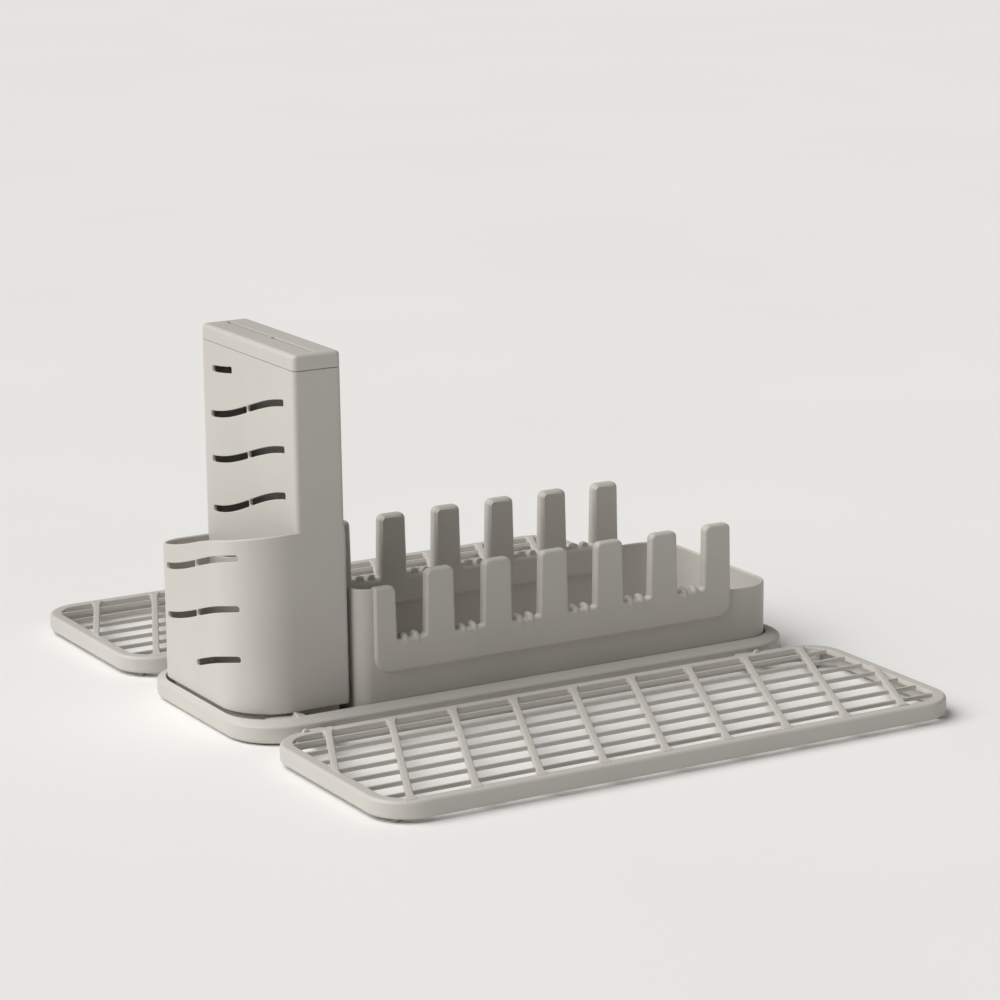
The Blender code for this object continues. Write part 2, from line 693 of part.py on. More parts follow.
def make_tray(name, side, rack, cutters):
    rings = [
        tray_ring(1.6 * MM, TRAY_UNDERSIDE),
        tray_ring(0.5 * MM, TRAY_UNDERSIDE + 0.7 * MM),
        tray_ring(0.0, TRAY_UNDERSIDE + 2.2 * MM),
        tray_ring(0.0, TRAY_TOP - 1.6 * MM),
        tray_ring(0.5 * MM, TRAY_TOP - 0.5 * MM),
        tray_ring(1.6 * MM, TRAY_TOP),
        tray_ring(TRAY_RIM, TRAY_TOP),
        tray_ring(TRAY_RIM, GRATE_BOTTOM),
        tray_ring(TRAY_SKIRT, GRATE_BOTTOM),
        tray_ring(TRAY_SKIRT, TRAY_UNDERSIDE),
    ]
    rim = loft(name, rings, rack, closed=True)
    bars = []
    for index in range(SLAT_COUNT):
        y = (index - (SLAT_COUNT - 1) / 2) * SLAT_PITCH
        half_length = TRAY_LENGTH / 2 - TRAY_RIM + 2 * MM
        bars.append(
            box("slat", -half_length, half_length, y - SLAT_THICKNESS / 2, y + SLAT_THICKNESS / 2,
                GRATE_BOTTOM + 0.2 * MM, TRAY_TOP - 0.2 * MM, cutters)
        )
    bound_outline = centred_box(TRAY_LENGTH, TRAY_DEPTH, TRAY_CORNER, TRAY_RIM - 1.5 * MM)
    for index in range(CROSSBAR_COUNT):
        bar = make_crossbar(index, cutters)
        if index in (0, CROSSBAR_COUNT - 1):
            bound = prism("bound", [bound_outline], 0, 20 * MM, cutters)
            bar = combine(bar, [bound], "INTERSECT", cutters)
        bars.append(bar)
    tray = combine(rim, bars + tray_bosses(cutters) + fold_nubs(cutters), "UNION", rack)
    turn = Matrix.Rotation(math.pi, 4, "Z") if side > 0 else Matrix.Identity(4)
    tray.data.transform(Matrix.Translation((TRAY_SHIFT, side * (TRAY_OFFSET + TRAY_DEPTH / 2), 0)) @ turn)
    ears, bores = [], []
    for hinge_side, x in hinge_places():
        if hinge_side != side:
            continue
        for start in (x - HINGE_ARM / 2 - HINGE_SIDE_GAP - HINGE_EAR, x + HINGE_ARM / 2 + HINGE_SIDE_GAP):
            root = (TRAY_OFFSET + TRAY_SKIRT - 0.6 * MM, HINGE_Z + HINGE_RADIUS)
            ears.append(knuckle("ear", side, root, start, start + HINGE_EAR, cutters))
        bores.append(hinge_bore(x, side, cutters))
    tray = combine(tray, ears, "UNION", rack)
    return combine(tray, bores, "DIFFERENCE", rack)


def tray_foot_places():
    reach = 17.8 * MM / math.sqrt(2)
    x, y = TRAY_LENGTH / 2 - TRAY_CORNER + reach, TRAY_DEPTH / 2 - TRAY_CORNER + reach
    return [(-x, -y), (x, -y), (x, y), (-x, y)]


def tray_bosses(cutters):
    low = TRAY_FOOT_HEIGHT + GAP
    return [disc("boss", x, y, 3.4 * MM, low, GRATE_BOTTOM + MM, cutters, 16) for x, y in tray_foot_places()]


def fold_nubs(cutters):
    """Small pointed nubs on the hinged rim, near the hinges."""
    nubs = []
    y = TRAY_DEPTH / 2 - 2.4 * MM
    for x in NUB_PLACES:
        rings = []
        for half, rise in NUB_PROFILE:
            left, right, front, back = x - half, x + half, y - half / 2, y + half / 2
            rings.append(level([(left, front), (right, front), (right, back), (left, back)], TRAY_TOP + rise))
        nubs.append(loft("nub", rings, cutters))
    return nubs


def make_feet(rack, material):
    for index, (x, y) in enumerate(base_foot_places(), start=1):
        foot = disc(f"base_foot_{index}", x, y, BASE_FOOT_RADIUS, 0, BASE_FOOT_HEIGHT, rack)
        finish(foot, material)
    for side, label in ((-1, "front"), (1, "back")):
        for index, (x, y) in enumerate(tray_foot_places(), start=1):
            name = f"{label}_tray_foot_{index}"
            centre = (x + TRAY_SHIFT, side * (TRAY_OFFSET + TRAY_DEPTH / 2) + y)
            finish(disc(name, *centre, TRAY_FOOT_RADIUS, 0, TRAY_FOOT_HEIGHT, rack, 16), material)


def main():
    clear_scene()
    rack, cutters = make_collections()
    plastic = make_material("greige_plastic", (0.60, 0.58, 0.53), 0.45)
    rubber = make_material("foot_rubber", (0.50, 0.49, 0.46), 0.8)
    steel = make_material("pin_steel", (0.62, 0.62, 0.62), 0.3, 1.0)
    finish(make_base(rack, cutters), plastic)
    caddy = finish(make_caddy(rack, cutters), plastic)
    cap = finish(make_cap(rack, cutters), plastic)
    finish(make_bin(rack, cutters), plastic)
    for name, side in (("front_tray", -1), ("back_tray", 1)):
        tray = finish(make_tray(name, side, rack, cutters), plastic)
        set_origin(tray, (0, side * HINGE_Y, HINGE_Z))
    make_pins(rack, steel)
    make_feet(rack, rubber)
    cap.parent = caddy


main()
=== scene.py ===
"""The finished look of the dish drying rack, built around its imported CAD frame.

Every plastic piece is modelled again with its fillets, wavy slots and fine edges, rides on the body of the
CAD piece that it stands for, and has a moulded plastic material. Lengths are in metres, or in millimetres
where a comment says so.
"""

import json
import math

import bmesh
import bpy
from mathutils import Matrix, Vector


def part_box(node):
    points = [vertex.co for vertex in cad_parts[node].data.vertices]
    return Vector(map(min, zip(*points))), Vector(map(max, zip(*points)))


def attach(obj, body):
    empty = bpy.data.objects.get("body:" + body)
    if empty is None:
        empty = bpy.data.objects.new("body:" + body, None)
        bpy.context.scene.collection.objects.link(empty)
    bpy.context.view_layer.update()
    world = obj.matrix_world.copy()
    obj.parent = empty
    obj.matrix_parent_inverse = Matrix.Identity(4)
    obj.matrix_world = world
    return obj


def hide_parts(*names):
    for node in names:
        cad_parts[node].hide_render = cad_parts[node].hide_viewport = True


MM = 0.001
WELD_DISTANCE = 0.002 * MM
MERGE_ANGLE, SOFTEN_ANGLE, SMOOTH_ANGLE = math.radians(0.2), math.radians(32), math.radians(50)

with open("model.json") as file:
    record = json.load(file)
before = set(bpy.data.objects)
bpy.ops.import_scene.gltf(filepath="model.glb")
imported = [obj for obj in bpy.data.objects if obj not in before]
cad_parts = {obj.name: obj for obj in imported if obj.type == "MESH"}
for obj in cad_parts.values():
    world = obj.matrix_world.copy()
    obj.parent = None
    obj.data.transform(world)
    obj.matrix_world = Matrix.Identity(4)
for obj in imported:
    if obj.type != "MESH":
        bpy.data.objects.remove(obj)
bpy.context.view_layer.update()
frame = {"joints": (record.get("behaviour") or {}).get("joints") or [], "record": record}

# An outline is a list of (x, y) points that run anticlockwise, and a ring is an outline placed in space.


def arc(centre, radius, start, end, steps):
    """Points on an arc, from one angle in degrees to another."""
    angles = [math.radians(start + (end - start) * step / steps) for step in range(steps + 1)]
    return [(centre[0] + radius * math.cos(a), centre[1] + radius * math.sin(a)) for a in angles]


def circle(centre, radius, count):
    return arc(centre, radius, 0, 360 - 360 / count, count - 1)


def rounding(radius, turn, steps):
    """(inset, drop) over a rounded edge, from an upright face: a turn of 90 degrees ends on a level top."""
    angles = [math.radians(turn * step / steps) for step in range(steps + 1)]
    return [(radius * (1 - math.cos(a)), radius * (1 - math.sin(a))) for a in angles]


def rounded_box(x0, x1, y0, y1, radii, steps=12):
    """A rectangle with rounded corners; radii are front left, front right, back right, back left."""
    front_left, front_right, back_right, back_left = radii
    return (
        arc((x0 + front_left, y0 + front_left), front_left, 180, 270, steps)
        + arc((x1 - front_right, y0 + front_right), front_right, 270, 360, steps)
        + arc((x1 - back_right, y1 - back_right), back_right, 0, 90, steps)
        + arc((x0 + back_left, y1 - back_left), back_left, 90, 180, steps)
    )


def level(outline, z):
    return [(x, y, z) for x, y in outline]


def between(first, second, t):
    """A ring part of the way from one ring to another."""
    return [tuple(a + (b - a) * t for a, b in zip(p, q)) for p, q in zip(first, second)]


def mesh_object(name, bm):
    bmesh.ops.recalc_face_normals(bm, faces=bm.faces)
    mesh = bpy.data.meshes.new(name)
    bm.to_mesh(mesh)
    bm.free()
    obj = bpy.data.objects.new(name, mesh)
    bpy.context.scene.collection.objects.link(obj)
    return obj


def loft(name, rings, closed=False):
    """A skin over rings of equally many points, capped at both ends, or joined end to start when closed."""
    bm = bmesh.new()
    loops = [[bm.verts.new(point) for point in ring] for ring in rings]
    pairs = list(zip(loops, loops[1:]))
    if closed:
        pairs.append((loops[-1], loops[0]))
    for lower, upper in pairs:
        for i in range(len(lower)):
            bm.faces.new((lower[i - 1], lower[i], upper[i], upper[i - 1]))
    if not closed:
        caps = [bm.faces.new(loops[0]), bm.faces.new(loops[-1])]
        for cap in caps:
            cap.normal_update()
        bmesh.ops.triangulate(bm, faces=caps)
    bmesh.ops.connect_verts_nonplanar(bm, angle_limit=math.radians(0.01), faces=bm.faces)
    return mesh_object(name, bm)


def prism(name, outline, low, high, axis="Z"):
    """An outline extruded along Z, or along X, where its x and y become Y and Z."""
    if axis == "X":
        return loft(name, [[(h, x, y) for x, y in outline] for h in (low, high)])
    return loft(name, [level(outline, h) for h in (low, high)])


def evaluated(source):
    """The object with its modifiers applied, as a plain mesh that replaces it."""
    name = source.name
    bpy.context.view_layer.update()
    graph = bpy.context.evaluated_depsgraph_get()
    mesh = bpy.data.meshes.new_from_object(source.evaluated_get(graph))
    bpy.data.objects.remove(source, do_unlink=True)
    mesh.name = name
    obj = bpy.data.objects.new(name, mesh)
    bpy.context.scene.collection.objects.link(obj)
    return obj


def tidy(obj):
    """Welds points that coincide and merges faces that lie in one plane."""
    bm = bmesh.new()
    bm.from_mesh(obj.data)
    bmesh.ops.remove_doubles(bm, verts=bm.verts, dist=WELD_DISTANCE)
    bmesh.ops.dissolve_degenerate(bm, dist=WELD_DISTANCE, edges=bm.edges)
    bmesh.ops.dissolve_limit(bm, angle_limit=MERGE_ANGLE, verts=bm.verts, edges=bm.edges)
    bm.to_mesh(obj.data)
    bm.free()


def join(name, pieces):
    """One object from several that don't touch."""
    bm = bmesh.new()
    for piece in pieces:
        bm.from_mesh(piece.data)
    obj = mesh_object(name, bm)
    for piece in pieces:
        bpy.data.objects.remove(piece, do_unlink=True)
    return obj


def combine(target, tools, operation):
    """The target after a Boolean with each tool."""
    for tool in tools:
        modifier = target.modifiers.new("combine", "BOOLEAN")
        modifier.object = tool
        modifier.operation = operation
        modifier.solver = "EXACT"
    result = evaluated(target)
    for tool in tools:
        bpy.data.objects.remove(tool, do_unlink=True)
    return result


def soften(obj, width, segments=3):
    """Rounds the sharp edges."""
    tidy(obj)
    modifier = obj.modifiers.new("soften", "BEVEL")
    modifier.width = width
    modifier.segments = segments
    modifier.limit_method = "ANGLE"
    modifier.angle_limit = SOFTEN_ANGLE
    modifier.miter_outer = "MITER_ARC"
    return evaluated(obj)


def finish_mesh(obj):
    """Fills any pinhole that the Booleans left, and shades smoothly with the large flat faces flat."""
    bm = bmesh.new()
    bm.from_mesh(obj.data)
    bmesh.ops.holes_fill(bm, edges=[edge for edge in bm.edges if edge.is_boundary], sides=6)
    bm.to_mesh(obj.data)
    bm.free()
    obj.data.shade_smooth()
    modifier = obj.modifiers.new("normals", "WEIGHTED_NORMAL")
    modifier.keep_sharp = True
    obj.data.set_sharp_from_angle(angle=SMOOTH_ANGLE)
    return evaluated(obj)


DRAIN_CORNER = 1.9 * MM


def drain(x, y, half_x, half_y, high):
    """A cutter for a drain slot with round ends, from below a floor up to a height."""
    outline = rounded_box(x - half_x, x + half_x, y - half_y, y + half_y, [DRAIN_CORNER] * 4, 6)
    return prism("drain", outline, 0, high)


# Hinges: an arm of the base between two ears of a tray, on a pin. Side is -1 for the front tray and 1 for
# the back tray.

HINGE = Vector(next(joint for joint in frame["joints"] if joint["name"] == "back_tray_fold")["pos_m"])
HINGE_XS = (-138 * MM, 134 * MM)  # of the front tray; the back tray is the same piece turned half round
HINGE_RADIUS = 2.4 * MM
HINGE_ARM, HINGE_EAR, HINGE_SIDE_GAP = 8.0 * MM, 3.5 * MM, 0.4 * MM
HINGE_ARM_ROOT = 0.2 * MM  # how far an arm's root rises over the axis
KNUCKLE_FILLET = 0.45 * MM
BORE_RADIUS = 1.26 * MM


def hinge_places(side):
    return [-side * x for x in HINGE_XS]


def knuckle(name, side, root, x0, x1):
    """A tongue from its root, (distance from the centre line, top), to a round end about the hinge axis."""
    root_y, root_top = root
    outward = 1 if HINGE.y > root_y else -1
    turn = arc((0, 0), HINGE_RADIUS, -90, 90, 20)
    profile = [(side * (HINGE.y + outward * y), HINGE.z + z) for y, z in turn]
    profile += [(side * root_y, root_top), (side * root_y, HINGE.z - HINGE_RADIUS)]
    return soften(prism(name, profile, x0, x1, "X"), KNUCKLE_FILLET)


def pin_bores(side):
    """One cutter with the holes for both pins of a side."""
    reach = HINGE_ARM / 2 + HINGE_SIDE_GAP + HINGE_EAR + MM
    outline = circle((side * HINGE.y, HINGE.z), BORE_RADIUS, 48)
    return join("bores", [prism("bore", outline, x - reach, x + reach, "X") for x in hinge_places(side)])


# Base tray

BASE_LOW, BASE_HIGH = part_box("base_tray")
BASE_LENGTH = BASE_HIGH.x - BASE_LOW.x
BASE_DEPTH = 140 * MM
BASE_CORNER = 30 * MM
BASE_LIP = 12.8 * MM
WELL_FLOOR = 3.4 * MM
WELL_CORNER = 21 * MM
LONG_LIP, LEFT_LIP, RIGHT_LIP = 8.6 * MM, 2.8 * MM, 8.6 * MM

# Profiles in mm. The first two are (inset from the outer face, height), one from the underside and one
# from the ground.
BASE_FOOT_EDGE = [(2.6, 0), (1.75, 0.13), (1.0, 0.5), (0.45, 1.05), (0.1, 1.8), (0, 2.6)]
BASE_SHOULDER = [(0, 9.3), (0.08, 9.9), (0.35, 10.35), (0.9, 10.7)]
LIP_BULGE = 0.25 * MM
LIP_EDGE = [(0.7, 0), (0.3, 0.08), (0.05, 0.35), (0, 0.8)]  # (out from the well's wall, drop from the lip)
WELL_EDGE = [(0, 1.2), (0.35, 0.35), (1.2, 0)]  # (in from the well's wall, rise from the floor)

LEDGE_LEFT, LEDGE_RIGHT, LEDGE_BACK = -158 * MM, -139 * MM, -52.8 * MM
LEDGE_DROP = 1.1 * MM  # below the lip
TAB_BOTTOM, TAB_BACK = 2 * MM, -52.5 * MM
TAB_STEP, TAB_STEP_Y, TAB_PEAK_Y = 12.0 * MM, -56.8 * MM, -57.2 * MM
TAB_ROOT_DEPTH, TAB_ROOT_TOP = 2.5 * MM, 12.2 * MM
TAB_SECTIONS = [(-143.3, 13.4, 14.2), (-141.9, 13.3, 14.1), (-137.2, 12.4, 12.5)]  # (x, lip, peak) in mm
TAB_FILLET = 0.5 * MM


def base_ring(inset, z):
    half_x, half_y, radius = BASE_LENGTH / 2 - inset, BASE_DEPTH / 2 - inset, BASE_CORNER - inset
    return level(rounded_box(-half_x, half_x, -half_y, half_y, [radius] * 4), z)


def well_ring(grow, z):
    left, right = BASE_CORNER - LEFT_LIP + grow, WELL_CORNER + grow
    outline = rounded_box(
        -BASE_LENGTH / 2 + LEFT_LIP - grow,
        BASE_LENGTH / 2 - RIGHT_LIP + grow,
        -BASE_DEPTH / 2 + LONG_LIP - grow,
        BASE_DEPTH / 2 - LONG_LIP + grow,
        [left, right, right, left],
    )
    return level(outline, z)


def base_skin():
    """The shallow tray, from its underside up the outer face, over the bulging lip and down into the well."""
    rings = [base_ring(inset * MM, BASE_LOW.z + z * MM) for inset, z in BASE_FOOT_EDGE]
    rings += [base_ring(inset * MM, z * MM) for inset, z in BASE_SHOULDER]
    lip = [well_ring(grow * MM, BASE_LIP - drop * MM) for grow, drop in LIP_EDGE]
    shoulder, crest = rings[-1], lip[0]
    for t in (0.2, 0.4, 0.6, 0.8):
        rise = LIP_BULGE * math.sin(math.pi * t)
        rings.append([(x, y, z + rise) for x, y, z in between(shoulder, crest, t)])
    rings += lip + [well_ring(-inset * MM, WELL_FLOOR + rise * MM) for inset, rise in WELL_EDGE]
    return loft("rack_base", rings)


def base_ledge():
    """A ledge inside the front lip, below the caddy's rounded corner, and the sloping tab at its end."""
    inner = -BASE_DEPTH / 2 + LONG_LIP
    outer = inner - 0.5 * MM
    corners = [(LEDGE_LEFT, outer), (LEDGE_RIGHT, outer), (LEDGE_RIGHT, LEDGE_BACK), (LEDGE_LEFT, LEDGE_BACK)]
    ledge = prism("ledge", corners, WELL_FLOOR - MM, BASE_LIP - LEDGE_DROP)
    root = inner - TAB_ROOT_DEPTH
    rings = []
    for x, lip, peak in TAB_SECTIONS:
        profile = [(root, TAB_BOTTOM), (TAB_BACK, TAB_BOTTOM), (TAB_BACK, TAB_STEP), (TAB_STEP_Y, TAB_STEP)]
        profile += [(TAB_PEAK_Y, peak * MM), (inner - MM, lip * MM), (root, TAB_ROOT_TOP)]
        rings.append([(x * MM, y, z) for y, z in profile])
    return [ledge, soften(loft("tab", rings), TAB_FILLET, 2)]


def make_base():
    base = base_skin()
    root = (BASE_DEPTH / 2 - 2 * MM, HINGE.z + HINGE_ARM_ROOT)
    reach = HINGE_ARM / 2
    arms = [knuckle("arm", side, root, x - reach, x + reach) for side in (-1, 1) for x in hinge_places(side)]
    base = combine(base, [join("arms", arms)] + base_ledge(), "UNION")
    return finish_mesh(combine(base, [pin_bores(-1), pin_bores(1)], "DIFFERENCE"))


# Cutlery caddy: a cup on the left, joined to a tall knife block. Both stand on a plinth.

CADDY_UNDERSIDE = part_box("utensil_caddy")[0].z
CADDY_BOTTOM = 13.2 * MM
CADDY_LEFT, CADDY_FRONT, CADDY_BACK = -171.0 * MM, -56.0 * MM, 55.2 * MM
CADDY_FRONT_CORNER, CADDY_BACK_CORNER = 30 * MM, 18 * MM
CUP_RIGHT, CUP_RIGHT_CORNER = -125 * MM, 0.9 * MM  # inside the block
PLINTH_INSET, PLINTH_CHAMFER = 4.0 * MM, 0.8 * MM
SEAM = 0.03 * MM  # how far the cup's faces stand back from the block's, so that no two lie in one plane
WALL = 2.0 * MM
SHOULDER_RISE = 4 * MM  # how far the walls slope over the plinth, inside
BLOCK_LEFT, BLOCK_RIGHT_BOTTOM, BLOCK_RIGHT_TOP = -138.0 * MM, -107.9 * MM, -109.9 * MM
BLOCK_CORNER = 2.6 * MM
BLOCK_TOP = 197.4 * MM
# (right face, height) where the block narrows.
BLOCK_NECK = [(BLOCK_RIGHT_BOTTOM - 0.5 * MM, 107 * MM), (BLOCK_RIGHT_TOP + 0.6 * MM, 112 * MM)]
CADDY_DRAIN_XS, CADDY_DRAIN_YS = (-153 * MM, -124 * MM), (-30 * MM, 0, 30 * MM)
CADDY_DRAIN_HALF_LENGTH, CADDY_DRAIN_HALF_WIDTH = 7 * MM, 2 * MM

# The cup's rim in mm: (distance along the wall from its middle, height). It rises to the front in a wave.
RIM = [(-56, 87.6), (-34, 90.3), (-14, 94.9), (6, 100.6), (26, 105.4), (50, 109.4), (74, 111.4)]
CORNER_START = 26 * MM

# The wavy slots. Their places run along the wall from its middle, towards the front.
WALL_SLOT_WIDTH, BLOCK_SLOT_WIDTH = 3.6 * MM, 3.7 * MM
SLOT_CORNER = 1.3 * MM
SLOT_END = 0.2 * MM  # how far the rounded ends reach back into a slot
SLOT_RISE, SLOT_WAVE, SLOT_MIDDLE = 11.2 * MM, 35 * MM, 1 * MM
BRIDGE_BACK, BRIDGE_FRONT = -1.9 * MM, 1.1 * MM
WALL_ROWS = (87.6 * MM, 60.0 * MM)
WALL_SLOTS_BACK, WALL_SLOTS_FRONT = -36.5 * MM, 41.6 * MM
LOW_ROW, LOW_SLOT_BACK = 32.2 * MM, -1.2 * MM
# (height, rise) in mm.
BLOCK_ROWS = [(168.2, 11.2), (143, 11.2), (116.5, 12.8), (90, 11.2), (63, 11.2), (36, 11.2)]
BLOCK_SLOTS_BACK, BLOCK_SLOTS_FRONT = -44 * MM, 42.2 * MM
HIGH_ROW, HIGH_ROW_RISE, HIGH_SLOT_BACK, HIGH_SLOT_FRONT = 189.6 * MM, 7.0 * MM, -41 * MM, -19.2 * MM

# (depth, how much a slot widens there) in mm, through a wall: both faces keep rounded edges.
FLARE = [(-0.6, 0.75), (0.0, 0.34), (0.12, 0.14), (0.4, 0.0)]
FLARE += [(1.6, 0.0), (1.88, 0.14), (2.0, 0.34), (2.6, 0.75)]


def smooth_through(points, at):
    """A smooth curve through points, read at one place (Catmull-Rom)."""
    if at <= points[0][0]:
        return points[0][1]
    if at >= points[-1][0]:
        return points[-1][1]
    i = max(k for k in range(len(points) - 1) if points[k][0] <= at)
    p = [points[max(i - 1, 0)], points[i], points[i + 1], points[min(i + 2, len(points) - 1)]]
    t = (at - p[1][0]) / (p[2][0] - p[1][0])
    a, b, c, d = (q[1] for q in p)
    return 0.5 * (2 * b + (c - a) * t + (2 * a - 5 * b + 4 * c - d) * t**2 + (3 * b - a - 3 * c + d) * t**3)


def wall_place(s, depth):
    """(x, y) in the cup's wall, s along it towards the front from y = 0, and depth inside its face."""
    radius = CADDY_FRONT_CORNER
    if s <= CORNER_START:
        return CADDY_LEFT + depth, -s
    turn = (s - CORNER_START) / radius
    centre = (CADDY_LEFT + radius, -CORNER_START)
    return centre[0] - (radius - depth) * math.cos(turn), centre[1] - (radius - depth) * math.sin(turn)


def rim_height(y):
    """The rim's height at a y: the wall's corner turns towards +X as y falls."""
    if -y <= CORNER_START:
        s = -y
    else:
        s = CORNER_START + CADDY_FRONT_CORNER * math.asin(min((-y - CORNER_START) / CADDY_FRONT_CORNER, 1))
    return smooth_through(RIM, s / MM) * MM


def cup_outline(inset, right):
    corners = [CADDY_FRONT_CORNER - inset, CUP_RIGHT_CORNER, CUP_RIGHT_CORNER, CADDY_BACK_CORNER - inset]
    return rounded_box(CADDY_LEFT + inset, right, CADDY_FRONT + inset, CADDY_BACK - inset, corners, 18)


def cup_ring(inset, height):
    """The cup's outline with extra points along its left wall; height gives z at each y."""
    steps = 26
    front, back = CADDY_FRONT + CADDY_FRONT_CORNER, CADDY_BACK - CADDY_BACK_CORNER
    wall = [(CADDY_LEFT + inset + SEAM, back + (front - back) * step / steps) for step in range(1, steps)]
    return [(x, y, height(y)) for x, y in cup_outline(inset + SEAM, CUP_RIGHT - inset) + wall]


def level_cup_ring(inset, z):
    return cup_ring(inset, lambda y: z)


def cup_rim_ring(inset, drop):
    return cup_ring(inset, lambda y: rim_height(max(y, CADDY_FRONT)) - drop)


def block_outline(right, inset=0.0):
    corners = [max(BLOCK_CORNER - inset, 0.8 * MM)] * 4
    return rounded_box(BLOCK_LEFT + inset, right - inset, CADDY_FRONT + inset, CADDY_BACK - inset, corners, 8)


def block_ring(right, z, inset=0.0):
    return level(block_outline(right, inset), z)


def plinth_outline(left, inset, corner):
    """The block's outline at the plinth, where all sides but the left stand in."""
    right, front, back = BLOCK_RIGHT_BOTTOM - inset, CADDY_FRONT + inset, CADDY_BACK - inset
    return rounded_box(left, right, front, back, [corner] * 4, 8)


def slot_outline(start, end, centre, width, grow, round_end=False):
    """A slot's outline in s and height, with blunt round ends; centre gives its middle's height at each s."""
    steps = 14
    half = width / 2 + grow
    corner = min(SLOT_CORNER, half)
    tip = half if round_end else corner
    places = [start + (end - start) * step / steps for step in range(steps + 1)]
    lower = [(s, centre(s) - half) for s in places]
    upper = [(s, centre(s) + half) for s in reversed(places)]
    right = arc((end + grow - SLOT_END, centre(end) - half + tip), tip, -60, -3, 4)
    right += arc((end + grow - SLOT_END, centre(end) + half - tip), tip, 3, 60, 4)
    left = arc((start - grow + SLOT_END, centre(start) + half - corner), corner, 120, 180, 3)
    left += arc((start - grow + SLOT_END, centre(start) - half + corner), corner, 180, 240, 3)
    return lower + right + upper + left


def wall_slot(start, end, centre, round_end=False):
    """A cutter for a slot in the cup's wall, which widens at both faces to leave rounded edges."""
    rings = []
    for depth, grow in FLARE:
        ring = []
        for s, z in slot_outline(start, end, centre, WALL_SLOT_WIDTH, grow * MM, round_end):
            x, y = wall_place(s, depth * MM)
            ring.append((x, y, z))
        rings.append(ring)
    return loft("slot", rings)


def block_slot(start, end, centre):
    """The same in the knife block's left wall, where s is -y."""
    rings = []
    for depth, grow in FLARE:
        outline = slot_outline(start, end, centre, BLOCK_SLOT_WIDTH, grow * MM)
        rings.append([(BLOCK_LEFT + depth * MM, -s, z) for s, z in outline])
    return loft("slot", rings)


def wave(height, rise=SLOT_RISE):
    """A slot's wavy centre line, which passes its height near the wall's middle."""
    return lambda s: height + rise * math.sin((s - SLOT_MIDDLE) / SLOT_WAVE)


def caddy_slots():
    """Cutters for all slots. A narrow bridge splits each row but the cup's lowest and the block's highest."""
    slots = []
    for height in WALL_ROWS:
        slots.append(wall_slot(WALL_SLOTS_BACK, BRIDGE_BACK, wave(height)))
        slots.append(wall_slot(BRIDGE_FRONT, WALL_SLOTS_FRONT, wave(height), True))
    slots.append(wall_slot(LOW_SLOT_BACK, WALL_SLOTS_FRONT, wave(LOW_ROW), True))
    slots.append(block_slot(HIGH_SLOT_BACK, HIGH_SLOT_FRONT, wave(HIGH_ROW, HIGH_ROW_RISE)))
    for height, rise in BLOCK_ROWS:
        centre = wave(height * MM, rise * MM)
        slots.append(block_slot(BLOCK_SLOTS_BACK, BRIDGE_BACK, centre))
        slots.append(block_slot(BRIDGE_FRONT, BLOCK_SLOTS_FRONT, centre))
    return slots


def cup_skin(floor, shoulder, inset):
    """The cup, from the plinth's underside up the outer face, over the round rim and down inside."""
    low, bottom = CADDY_UNDERSIDE, CADDY_BOTTOM
    outside = [(PLINTH_INSET + PLINTH_CHAMFER, low), (PLINTH_INSET, low + PLINTH_CHAMFER)]
    outside += [(PLINTH_INSET, bottom), (0.7 * MM, bottom)]
    outside += [(0.2 * MM, bottom + 0.2 * MM), (0, bottom + 0.7 * MM)]
    inside = [(WALL, shoulder + SHOULDER_RISE), (inset, shoulder), (inset, floor + MM), (inset + MM, floor)]
    rings = [level_cup_ring(depth, z) for depth, z in outside]
    rings += [cup_rim_ring(depth, drop) for depth, drop in rounding(WALL / 2, 180, 8)]
    rings += [level_cup_ring(depth, z) for depth, z in inside]
    return loft("rack_caddy", rings)


def block_skin():
    """The knife block and its part of the plinth, without the hollow."""
    plinth = plinth_outline(BLOCK_LEFT + 0.8 * MM, PLINTH_INSET, BLOCK_CORNER)
    rings = [level(plinth, CADDY_UNDERSIDE + SEAM), level(plinth, CADDY_BOTTOM + SEAM)]
    rings.append(block_ring(BLOCK_RIGHT_BOTTOM, CADDY_BOTTOM + SEAM, 0.5 * MM))
    rings.append(block_ring(BLOCK_RIGHT_BOTTOM, CADDY_BOTTOM + 0.6 * MM))
    rings += [block_ring(x, z) for x, z in BLOCK_NECK]
    rings.append(block_ring(BLOCK_RIGHT_TOP, BLOCK_TOP - 0.5 * MM))
    rings.append(block_ring(BLOCK_RIGHT_TOP, BLOCK_TOP, 0.35 * MM))
    return loft("block", rings)


def block_hollow(floor, shoulder, inset):
    """The cutter for the block's hollow, which is open at the top."""
    low = plinth_outline(BLOCK_LEFT + WALL, inset, MM)
    rings = [level(low, floor), level(low, shoulder)]
    rings.append(block_ring(BLOCK_RIGHT_BOTTOM, shoulder + SHOULDER_RISE, WALL))
    rings += [block_ring(x, z, WALL) for x, z in BLOCK_NECK]
    rings.append(block_ring(BLOCK_RIGHT_TOP, BLOCK_TOP + 100 * MM, WALL))
    return loft("block_hollow", rings)


def make_caddy():
    floor, shoulder, inset = CADDY_UNDERSIDE + WALL, CADDY_BOTTOM + WALL, PLINTH_INSET + WALL
    caddy = combine(cup_skin(floor, shoulder, inset), [block_skin()], "UNION")
    caddy = combine(caddy, [block_hollow(floor, shoulder, inset)], "DIFFERENCE")
    half_x, half_y = CADDY_DRAIN_HALF_LENGTH, CADDY_DRAIN_HALF_WIDTH
    drains = [drain(x, y, half_x, half_y, floor + MM) for x in CADDY_DRAIN_XS for y in CADDY_DRAIN_YS]
    return finish_mesh(combine(caddy, drains + caddy_slots(), "DIFFERENCE"))


# The block's cap, with two knife slits

